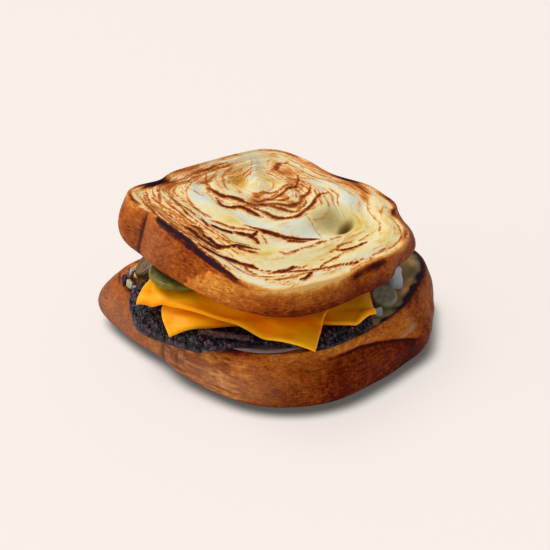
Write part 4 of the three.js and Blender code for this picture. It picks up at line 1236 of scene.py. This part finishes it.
crumbles = run_nodes("patty_crumbles", PATTY_MESH, crumble_scatter(), {
    "Crumbles per square metre": 330000.0, "Smallest": 0.0004, "Largest": 0.0010, "Seed": 4,
    "Finish": BEEF})
place_piece("patty_crumbles", crumbles, BEEF, [])

# %% [markdown]
# ## The cheese
# Two square slices have gone soft on the hot patty: flat where it carries them, then bending down past
# its edge with rounded, slightly thickened rims. Each is a plate bent over the same rule that gives the
# lie of its solid.

# %% Cheese shape
# A lift is (side along, side across, rise, reach): a corner that stands up or hangs down.
CHEESE_THICKNESS = 2.4
CHEESE_FALL = 1.1
CHEESE_CLEARANCE = 1.8
# Points round each ring of a cheese slice, and its rings underneath, round its edge and on top.
CHEESE_RINGS = (400, 34, 9, 44)
CHEESE_LOWER = {
    "middle": (9.3, -9.4), "along": 84, "across": 84, "turned": math.radians(47),
    "lifts": [(-1, -1, -2.5, 16), (1, -1, 7.8, 8.5)], "humps": [(20, -58, 7, 6, 0, -1.5)], "bow": 4.5,
}
CHEESE_UPPER = {
    "middle": (9.4, -17.4), "along": 77, "across": 82, "turned": math.radians(26),
    "lifts": [(-1, -1, 4, 15)], "humps": [(-16, -56, 15, 8, 116, 3.4), (57, -24, 9, 9, 0, 1.8)], "bow": 0,
}
# Mounds of tone on both slices: deeper orange as painted shade where the top slice lies over them,
# deeper orange on the lower flap, and a little paler in front of the bread as painted light.
CHEESE_TONES = [(39, -40, 22, 4.5, 43, -1.3), (49, -49, 12, 4, 43, 0.5), (17, -67, 8, 8, 0, -0.7)]


def in_sheet(sheet, x, y):
    """Plan points in a slice's own axes, from its middle."""
    dx, dy = x - sheet["middle"][0], y - sheet["middle"][1]
    c, s = math.cos(sheet["turned"]), math.sin(sheet["turned"])
    return dx * c + dy * s, -dx * s + dy * c


def sheet_lift(sheet, x, y):
    """How much a sheet's corners and humps rise or hang beyond its plain drape."""
    u, v = in_sheet(sheet, x, y)
    total = sum_of_mounds(sheet["humps"], x, y)
    for side_u, side_v, rise, reach in sheet["lifts"]:
        away = np.hypot(u - side_u * sheet["along"] / 2, v - side_v * sheet["across"] / 2)
        total = total + rise * (1 - smooth(away, 0, reach))
    return total


def cheese_lie(x, y):
    """The height of a sheet laid on the patty, which settles on the bread past it."""
    fall = CHEESE_FALL * 3 * np.log(1 + np.exp((1.5 - inside_patty(x, y)) / 3))
    height = patty_crown(x, y) + CHEESE_CLEARANCE - fall
    return height + np.log(1 + np.exp(LOW_THICKNESS + 2 * GAP - height))


def lower_sheet(x, y):
    """The height of the lower slice's underside."""
    return cheese_lie(x, y) + sheet_lift(CHEESE_LOWER, x, y)


def upper_sheet(x, y):
    """The height of the upper slice's underside, which steps down past the lower slice's edge."""
    u, v = in_sheet(CHEESE_LOWER, x, y)
    past = np.maximum(np.abs(u) - CHEESE_LOWER["along"] / 2, np.abs(v) - CHEESE_LOWER["across"] / 2)
    lie = cheese_lie(x, y)
    steep = np.sqrt(1 + (cheese_lie(x + 1, y) - lie) ** 2 + (cheese_lie(x, y + 1) - lie) ** 2)
    over_lower = (CHEESE_THICKNESS * steep + 3 * GAP) * (1 - smooth(past, 3, 9))
    return lie + over_lower + sheet_lift(CHEESE_UPPER, x, y)


def sheet_rings(sheet):
    """The rings of a flat slice: plan points, the same in its own axes, and how high in its thickness."""
    around, under, edge, face = CHEESE_RINGS
    half = CHEESE_THICKNESS / 2
    bend = np.linspace(-np.pi / 2, np.pi / 2, edge)
    outs = np.concatenate([np.linspace(0.02, 0.95, under), np.ones(edge), np.linspace(0.95, 0.02, face)])
    rounding = np.concatenate([np.zeros(under), half * np.cos(bend) - half, np.zeros(face)])
    levels = np.concatenate([np.zeros(under), half + half * np.sin(bend), np.full(face, CHEESE_THICKNESS)])
    angle, out, rounding, level = ring_grid(around, outs, rounding, levels)
    reach = out / np.maximum(np.abs(np.cos(angle)), np.abs(np.sin(angle)))
    u = np.clip(np.cos(angle) * reach, -1, 1) * (sheet["along"] / 2 + rounding)
    v = np.clip(np.sin(angle) * reach, -1, 1) * (sheet["across"] / 2 + rounding)
    # One side of the lower slice bows in.
    near = (v + sheet["across"] / 2 - 9) / 8
    u = u - sheet["bow"] * np.exp(-near * near) * (1 - smooth(u, -sheet["along"] / 2, 0))
    c, s = math.cos(sheet["turned"]), math.sin(sheet["turned"])
    x = u * c - v * s + sheet["middle"][0]
    y = u * s + v * c + sheet["middle"][1]
    return x, y, u, v, level


def cheese_slice(sheet, height_of, seed):
    """A slice of cheese as rings of a square with a rounded edge, bent over what carries it."""
    x, y, u, v, level = sheet_rings(sheet)
    step = 0.5
    slope_x = (height_of(x + step, y) - height_of(x - step, y)) / (2 * step)
    slope_y = (height_of(x, y + step) - height_of(x, y - step)) / (2 * step)
    up = stacked(-slope_x, -slope_y, np.ones_like(x))
    up = up / np.linalg.norm(up, axis=-1, keepdims=True)
    flat = stacked(x, y, 0 * x)
    streak = (relief(stacked(u / 17, v / 3.2, 0 * u), seed + 2)
              + 0.5 * relief(stacked(u / 9, v / 1.5, 0 * u), seed + 3))
    soft = 0.22 * relief(flat / 9, seed) + 0.05 * relief(flat / 3, seed + 1) + 0.24 * streak + 0.1
    rows = stacked(x, y, height_of(x, y)) + up * (level + soft)[..., None]
    # The streak mark also carries the tone mounds, so it holds painted shade and painted light as well as
    # streaks.
    return rows, {"streak": streak + sum_of_mounds(CHEESE_TONES, x, y)}


# %% [markdown]
# ### Melted cheese
# Processed cheese is a smooth emulsion: strong orange, slightly translucent, and satin where it has
# melted. Subsurface scattering softens its shadows as fat and protein do in the real slice.

# %% Melted cheese material
def cheese_material():
    """Melted orange cheese: a satin, slightly translucent emulsion."""
    material, tree, place, (streak,) = new_material("melted_orange_cheese", "streak")
    # The streak mark holds painted shade and painted light from the tone mounds as well as streaks.
    tone = add_node(tree, "ShaderNodeMath", {0: streak, 1: 0.4, 2: 0.5}, operation="MULTIPLY_ADD")
    tone = grained(tree, place, tone, [(9.0, 2, 0.7), (0.8, 2, 0.12)])
    colour = add_node(tree, "ShaderNodeValToRGB", {"Fac": tone}, stops=[
        (0.0, "#f07c00"), (0.5, "#ffa602"), (1.0, "#ffb814")])
    height = grained(tree, place, 0.0, [(9.0, 2, 1.0), (0.8, 2, 0.15)])
    food_surface(tree, height, 0.35, 0.0005, {
        "Base Color": colour, "Roughness": 0.42, "IOR": 1.45, "Specular IOR Level": 0.1,
        "Coat Weight": 0.07, "Coat Roughness": 0.22, "Subsurface Weight": 0.3,
        "Subsurface Scale": 0.003, "Subsurface Radius": (1.0, 0.4, 0.03)})
    return material


CHEESE = cheese_material()
for node, sheet, height_of, seed in (("cheese_lower", CHEESE_LOWER, lower_sheet, 201),
                                     ("cheese_upper", CHEESE_UPPER, upper_sheet, 205)):
    place_rings(node + "_melted", cheese_slice(sheet, height_of, seed), CHEESE, node)

# %% [markdown]
# ## Pickle chips
# A pickled cucumber slice has a darker skin, a pale ring under it, and a wet, seedy middle that sinks.

# %% Pickle shape
# A chip is (name, place, radius, thickness, lean, the direction it leans in, age). Its age is 0 for a
# greenish grey, 0.5 for olive and 1 for brown.
FIRST_PICKLE_SEED = 301
PICKLES = [
    ("pickle_front", (-1.6, -52.9, 46.95), 12.4, 2.9, 4, 40, 0.5),
    # The left chip's brown of age 1 is partly its colour and partly painted shade in the gap between the
    # slices.
    ("pickle_left", (-35.2, -38, 34.1), 9.5, 3.2, 40, -133, 1.0),
    ("pickle_right", (56.6, 13.7, 30.4), 5.9, 3.2, 20, -47, 0.0),
]
PICKLE_RIM = 1.1
# Points round each ring of a chip, and its rings on each face and round its rim.
PICKLE_RINGS = (120, 16, 9)


def turning(degrees):
    """The matrix that turns points about the upright axis."""
    c, s = math.cos(math.radians(degrees)), math.sin(math.radians(degrees))
    return np.array([[c, -s, 0], [s, c, 0], [0, 0, 1]])


def leant(points, lean, toward, at):
    """Points tipped about their origin so that the side facing a direction goes down, then moved."""
    c, s = math.cos(math.radians(lean)), math.sin(math.radians(lean))
    tip = np.array([[c, 0, s], [0, 1, 0], [-s, 0, c]])
    return points @ (turning(toward) @ tip @ turning(-toward)).T + np.array(at, float)


def pickle_chip(radius, thickness, lean, toward, at, age, seed):
    """A pickle chip's rings and marks."""
    around, face, rim = PICKLE_RINGS
    half, inner = thickness / 2, radius - PICKLE_RIM
    bend = np.linspace(-np.pi / 2, np.pi / 2, rim)
    out = np.linspace(0.03, 1, face)
    sunk = half - 0.4 * (1 - out**2)
    r = np.concatenate([out * inner, inner + PICKLE_RIM * np.cos(bend), out[::-1] * inner])
    z = np.concatenate([-sunk, half * np.sin(bend), sunk[::-1]])
    angle, r, z = ring_grid(around, r, z, start=0)
    share = r / radius
    c, s = np.cos(angle), np.sin(angle)
    knobbly = 0.2 * relief(stacked(c * 3, s * 3, 0 * r), seed) * smooth(share, 0.7, 1)
    # Three groups of seeds have sunk, and the flesh between them stands in low lumps.
    seeds = smooth(np.cos(3 * angle + seed), 0.2, 0.9) * span(share, 0.2, 0.4, 0.55, 0.72)
    lumps = 0.16 * relief(stacked(r * c, r * s, 0 * r) / 1.6, seed + 3) * (1 - smooth(share, 0.75, 0.9))
    level = z + np.sign(z) * np.where(share < 0.9, lumps - 0.15 * seeds, 0)
    points = stacked((r + knobbly) * c, (r + knobbly) * s, level)
    marks = {"skin": smooth(share, 0.84, 0.97), "age": np.full_like(share, age)}
    return leant(points, lean, toward, at), marks


# %% [markdown]
# ### Pickled cucumber
# Brine turns cucumber from green to olive, and old chips go brown. The skin is darker than the flesh,
# the flesh is slightly translucent, and a thin coat of brine makes it shine.

# %% Pickle material
def pickle_material():
    """Pickled cucumber: olive skin, paler flesh, and a coat of brine."""
    material, tree, place, (skin, age) = new_material("pickled_cucumber", "skin", "age")
    skin = grained(tree, place, skin, [(2.5, 3, 0.5)])
    age = grained(tree, place, age, [(2.5, 3, 0.9)])
    flesh = add_node(tree, "ShaderNodeValToRGB", {"Fac": age}, stops=[
        (0.0, "#929482"), (0.3, "#84845e"), (0.6, "#6c6628"), (1.0, "#66481c")])
    rind = add_node(tree, "ShaderNodeValToRGB", {"Fac": age}, stops=[
        (0.0, "#6a6c54"), (0.4, "#766c12"), (0.7, "#5a4e08"), (1.0, "#4a3210")])
    colour = add_node(tree, "ShaderNodeMix", {0: skin, 6: flesh, 7: rind}, data_type="RGBA")
    height = grained(tree, place, 0.0, [(2.5, 3, 1.0), (0.6, 2, 0.3)])
    food_surface(tree, height, 0.5, 0.0005, {
        "Base Color": colour, "Roughness": 0.3, "IOR": 1.38, "Specular IOR Level": 0.3,
        "Subsurface Weight": 0.15, "Subsurface Scale": 0.002, "Coat Weight": 0.16, "Coat Roughness": 0.1})
    return material


PICKLE = pickle_material()
for n, (name, at, radius, thickness, lean, toward, age) in enumerate(PICKLES):
    chip = pickle_chip(radius, thickness, lean, toward, at, age, FIRST_PICKLE_SEED + 10 * n)
    place_rings(name + "_wet", chip, PICKLE, name)

# %% [markdown]
# ## Onion
# Raw onion is translucent and pale with a faint violet skin on each layer. One thin slice lies under the
# patty, and bits of layers stand beside it. Their edges are rounded by a closed loop that is swept round.

# %% Onion shapes
# A petal is (name, place, radius, sweep, wall, height, turn, lean, the direction it leans in, tint). Its
# tint is 0 for a lilac grey, 0.35 for a blue grey, 0.6 for a bluish white and 1 for a yellow green.
PETALS = [
    ("onion_petal_right", (53.1, 26.6, 27.2), 9, 50, 2, 10, -30, 16, 150, 0.6),
    ("onion_bit_right", (62, 4.2, 26.9), 6, 40, 1.8, 4.2, -20, 12, 160, 0.3),
    ("onion_bit_left_1", (-41.2, -45.4, 26.9), 6, 34, 1.8, 3.6, -130, 14, 50, 0.4),
    ("onion_bit_left_2", (-34.8, -52.3, 26.9), 6, 42, 1.8, 3, -100, 14, 80, 0.95),
    ("onion_bit_left_3", (-29.6, -54.2, 26.9), 5, 40, 1.8, 3.4, -120, 10, 60, 0.3),
]
GRILLED_BIT = ((-40.6, -50.6, 26.9), 9, 46, 2, 2.2, -140, 8, 40, 0.5)
# Points round a petal's loop, and loops along it.
PETAL_RINGS = (40, 41)
# Points round each ring of the onion slice, and its rings underneath and on top.
ONION_RINGS = (200, 20, 70)


def onion_petal(at, radius, sweep, wall, height, turn, lean, toward, tint):
    """A piece of an onion's ring, standing on its lower edge."""
    around, loops = PETAL_RINGS
    loop = np.linspace(0, 2 * np.pi, around, endpoint=False)
    squared = (np.abs(np.cos(loop)) ** 5 + np.abs(np.sin(loop)) ** 5) ** (-1 / 5)
    across = np.cos(loop) * squared * wall / 2
    upward = np.sin(loop) * squared * height / 2 + height / 2
    along = np.linspace(-1, 1, loops)
    close = np.sqrt(np.clip(1 - (np.abs(along) ** 14), 0.02, 1))
    angle = np.radians(sweep / 2) * along
    r = radius - wall / 2 + across[None, :] * close[:, None]
    points = stacked(r * np.cos(angle)[:, None] + wall / 2 - radius, r * np.sin(angle)[:, None],
                     height / 2 + (upward[None, :] - height / 2) * close[:, None])
    rows = leant(points @ turning(turn).T, lean, toward, at)
    rows = rows + 0.4 * stacked(*(relief(rows / 2.4, s) for s in (401, 402, 403)))
    # The vein mark rises from the petal's foot to its top, so the petal is darker towards its foot.
    vein = np.broadcast_to(upward[None, :] / height, rows.shape[:2])
    return rows, {"vein": vein, "tint": np.full_like(vein, tint)}


def onion_slice():
    """The thin slice of onion under the patty."""
    radius, thickness, rings = ONION_SLICE["radius"], ONION_SLICE["thickness"], ONION_SLICE["rings"]
    around, under, top = ONION_RINGS
    across = np.linspace(radius - 0.5, 0.5, top)
    r = np.concatenate([np.linspace(1, radius - 0.5, under), [radius - 0.1, radius, radius - 0.2], across])
    wave = -0.25 + 0.25 * np.cos(2 * np.pi * rings * across / radius)
    z = np.concatenate([np.zeros(under), [0.3, thickness / 2, thickness - 0.3], thickness + wave])
    angle, r, z = ring_grid(around, r, z, start=0)
    x, y = ONION_SLICE["middle"]
    rows = stacked(x + r * np.cos(angle), y + r * np.sin(angle), LOW_THICKNESS + GAP + z)
    return rows, {"vein": 0.5 + 0.5 * np.cos(2 * np.pi * rings * r / radius), "tint": np.zeros_like(r)}


# %% [markdown]
# ### Raw and griddled onion
# Onion is layers of translucent tissue full of water. Raw it is white, lilac at its skin and green at its
# heart, and glossy where it was cut. On the griddle it goes limp, brown and nearly black at its edges.
# Each layer's edge in the slice is a little darker, which is what tells the eye that it is onion, and a
# standing piece is darker towards its foot.

# %% Onion materials
def onion_material(name, tints, roughness):
    """Onion flesh: layered translucent tissue, tinted by how it was cooked, darker where its vein mark is
    low.
    """
    material, tree, place, (vein, tint) = new_material(name, "vein", "tint")
    tint = grained(tree, place, tint, [(3.0, 3, 0.3)])
    flesh = add_node(tree, "ShaderNodeValToRGB", {"Fac": tint}, stops=tints)
    layer = grained(tree, place, vein, [(3.0, 3, 0.8), (0.7, 2, 0.3)])
    shade = add_node(tree, "ShaderNodeMapRange", {"Value": layer, "To Min": 0.62, "To Max": 1.0})
    colour = add_node(tree, "ShaderNodeVectorMath", {0: flesh, "Scale": shade}, operation="SCALE")
    height = grained(tree, place, 0.0, [(3.0, 3, 1.0), (0.7, 2, 0.4)])
    food_surface(tree, height, 0.4, 0.0004, {
        "Base Color": colour, "Roughness": roughness, "IOR": 1.38, "Specular IOR Level": 0.3,
        "Subsurface Weight": 0.3, "Subsurface Scale": 0.002, "Coat Weight": 0.2, "Coat Roughness": 0.15})
    return material


ONION = onion_material("raw_white_onion", [
    (0.0, "#7a6468"), (0.35, "#8e98aa"), (0.6, "#c0c8d6"), (1.0, "#b0b27c")], 0.35)
GRILLED = onion_material("griddled_onion", [(0.0, "#1e1016"), (0.5, "#3c2226"), (1.0, "#7c5446")], 0.3)
for name, *shape in PETALS:
    place_rings(name + "_raw", onion_petal(*shape), ONION, name)
place_rings("onion_slice_raw", onion_slice(), ONION, "onion_slice")
place_rings("grilled_bit_left_dark", onion_petal(*GRILLED_BIT), GRILLED, "grilled_bit_left")

# %% [markdown]
# ## Griddled onion strips
# A few strips cooked soft and brown lie across each other on the patty's front shoulder. Each follows a
# path, so Geometry Nodes sweep them: the paths are bare lines, a flattened ring is drawn along them, and
# noise makes them limp. They touch, so they are one piece.

# %% Strip paths
STRIP_RADIUS = 1.1
STRIP_CLEARANCE = 1.1
STRIP_POINTS = 50
# A strip is (start, end, how far it bows to the back), on the plan.
STRIPS = [
    ((20.8, -63.4), (31.4, -58), 0.8), ((23, -61), (34, -55.6), -0.6), ((26.8, -60.4), (37.4, -54.2), 0.8),
    ((29.4, -57.4), (39.4, -52.2), -0.6), ((27.2, -61.2), (33.4, -54.6), 0.4),
]


def strip_path(start, end, bow):
    """The points along the middle of one strip."""
    share = np.linspace(0, 1, STRIP_POINTS)
    bowed = 4 * bow * share * (1 - share)
    x = start[0] + (end[0] - start[0]) * share - bowed * 0.5
    y = start[1] + (end[1] - start[1]) * share + bowed * 0.87
    top = np.maximum(patty_top(x, y, inside_patty(x, y)), PATTY["rest_on"] + PATTY["thinnest"])
    return stacked(x, y, top + STRIP_RADIUS + STRIP_CLEARANCE)


paths = np.concatenate([strip_path(*strip) for strip in STRIPS])
links = [(n, n + 1) for n in range(len(paths)) if (n + 1) % STRIP_POINTS]
path_mesh = bpy.data.meshes.new("strip_paths")
path_mesh.from_pydata(on_ground(paths).tolist(), links, [])
print("strip paths:", len(path_mesh.edges), "edges")


# %% Strip sweep
def strip_sweep():
    """The node group that draws a flattened strip along each line."""
    group, given = new_group("strip_sweep", {
        "Paths": "Geometry", "Radius": "Float", "Limpness": "Float", "Finish": "Material"}, "Strips")
    lines = add_node(group, "GeometryNodeMeshToCurve", {"Mesh": given["Paths"]})
    ring = add_node(group, "GeometryNodeCurvePrimitiveCircle", {
        "Resolution": 26, "Radius": given["Radius"]})
    oval = add_node(group, "GeometryNodeTransform", {
        "Geometry": ring.outputs["Curve"], "Scale": (0.8, 1.05, 1.0)})
    strips = add_node(group, "GeometryNodeCurveToMesh", {
        "Curve": lines, "Profile Curve": oval, "Fill Caps": True})
    # Bumps about 2 mm apart bend the strips and give their tone.
    marked, bumps = pushed_about(group, strips, scale=520.0, detail=2.0, reach=given["Limpness"])
    for mark in ("vein", "tint"):
        marked = add_node(group, "GeometryNodeStoreNamedAttribute", {
            "Geometry": marked, "Name": mark, "Value": bumps.outputs[0]}, data_type="FLOAT", domain="POINT")
    return end_group(group, marked, given["Finish"])


strips = run_nodes("grilled_onion_strips", path_mesh, strip_sweep(), {
    "Radius": STRIP_RADIUS * 0.001, "Limpness": 0.0009, "Finish": GRILLED})
place_piece("grilled_onion_strips", strips, GRILLED, ["grilled_onions"])


# %% [markdown]
# ## Floor, light and camera
# A pale floor and a pale world, with a broad soft light from above and behind on the left, so that the
# crust at the lower right falls into shade and a soft shadow lies round the foot of the sandwich.
# Studio paper is matt and lit evenly from behind, which is why it glows a little and has no edge. Its
# soft shadow is a mark too: it follows the foot of the bread, deep under it and gone 4 mm past it.

# %% Floor
SHADOW_SHIFT = (3.0, -0.6)
SHADOW_FROM, SHADOW_TO = -4.5, 3.8
SHADOW_DEPTH = 0.86
FOOT_SHARE = 0.22
# The floor's lines lie 2 mm apart round the sandwich, and run on to 6 m.
NEAR, LINES = 110, 111
FAR = (600, 6000)


def floor_material():
    """Plain pale studio paper, evenly lit from behind, with the soft shadow at the sandwich's foot."""
    material, tree, place, (shade,) = new_material("studio_paper", "shade")
    light = add_node(tree, "ShaderNodeMath", {0: 1.0, 1: shade}, operation="SUBTRACT")
    colour = add_node(tree, "ShaderNodeVectorMath", {0: linear("#8a8482")[:3], "Scale": light},
                      operation="SCALE")
    glow = add_node(tree, "ShaderNodeMath", {0: light, 1: 0.72}, operation="MULTIPLY")
    shader = add_node(tree, "ShaderNodeBsdfPrincipled", {
        "Base Color": colour, "Roughness": 0.9, "Specular IOR Level": 0.0,
        "Emission Color": linear("#f6efe9"), "Emission Strength": glow})
    add_node(tree, "ShaderNodeOutputMaterial", {"Surface": shader})
    return material


def foot_shadow(x, y):
    """How deep the shadow at the foot of the sandwich is at plan points."""
    across = x - BOTTOM["middle"][0] - SHADOW_SHIFT[0]
    away = y - BOTTOM["middle"][1] - SHADOW_SHIFT[1]
    toward = np.arctan2(away, across)
    footprint = np.linalg.norm(bread_outline(BOTTOM["belly"], (0, 0), toward), axis=-1)
    tucked = FOOT_SHARE * (foot_inset(BOTTOM, toward) - BOTTOM["foot_inset"])
    beyond = np.hypot(across, away) - footprint + tucked
    return SHADOW_DEPTH * (1 - smooth(beyond, SHADOW_FROM, SHADOW_TO))


far = np.array(FAR)
steps = np.concatenate([-far[::-1], np.linspace(-NEAR, NEAR, LINES), far])
floor_x, floor_y = np.meshgrid(steps, steps, indexing="ij")
n = len(steps)
corners = [(i * n + j, (i + 1) * n + j, (i + 1) * n + j + 1, i * n + j + 1)
           for i in range(n - 1) for j in range(n - 1)]
floor_mesh = bpy.data.meshes.new("floor")
floor_points = stacked(floor_x, floor_y, 0 * floor_x).reshape(-1, 3)
floor_mesh.from_pydata(on_ground(floor_points).tolist(), [], corners)
floor_mesh.attributes.new("shade", "FLOAT", "POINT").data.foreach_set(
    "value", foot_shadow(floor_x, floor_y).ravel().astype(np.float32))
floor_mesh.materials.append(floor_material())
floor = bpy.data.objects.new("floor", floor_mesh)
bpy.context.scene.collection.objects.link(floor)
print("floor:", len(corners), "faces")


# %% Light
def add_light(name, kind, energy, colour, toward, **settings):
    """A light that shines from a direction."""
    lamp = bpy.data.lights.new(name, kind)
    lamp.energy = energy
    lamp.color = linear(colour)[:3]
    for key, value in settings.items():
        setattr(lamp, key, value)
    light = bpy.data.objects.new(name, lamp)
    light.rotation_euler = Vector(toward).to_track_quat("Z", "Y").to_euler()
    bpy.context.scene.collection.objects.link(light)
    return light


add_light("window_light", "SUN", 2.0, "#fffaf2", (-0.4, -0.2, 1.0), angle=math.radians(36))
fill = add_light("front_fill", "AREA", 3.4, "#fff4e6", (-0.45, -0.85, 0.26), size=0.7)
fill.location = (-0.45, -0.85, 0.3)
world = bpy.data.worlds.new("soft_room")
bpy.context.scene.world = world
world.use_nodes = True
background = world.node_tree.nodes["Background"]
background.inputs["Color"].default_value = linear("#fffdfb")
background.inputs["Strength"].default_value = 0.44
print("lights:", [light.name for light in bpy.data.lights])

# %% Camera
AZIMUTH, ELEVATION = math.radians(43), math.radians(30)
DISTANCE = 0.6
LOOK_AT = (-0.00238, 0.00468, 0.0247)

camera = bpy.data.objects.new("camera", bpy.data.cameras.new("camera"))
bpy.context.scene.collection.objects.link(camera)
camera.data.sensor_width = 36
camera.data.lens = 86.4
camera.data.clip_start = 0.01
back = Vector((math.sin(AZIMUTH) * math.cos(ELEVATION), -math.cos(AZIMUTH) * math.cos(ELEVATION),
               math.sin(ELEVATION)))
camera.location = Vector(LOOK_AT) + DISTANCE * back
camera.rotation_euler = back.to_track_quat("Z", "Y").to_euler()
bpy.context.scene.camera = camera
bpy.context.scene.view_settings.view_transform = "Standard"
print("camera", [round(v, 4) for v in camera.location])
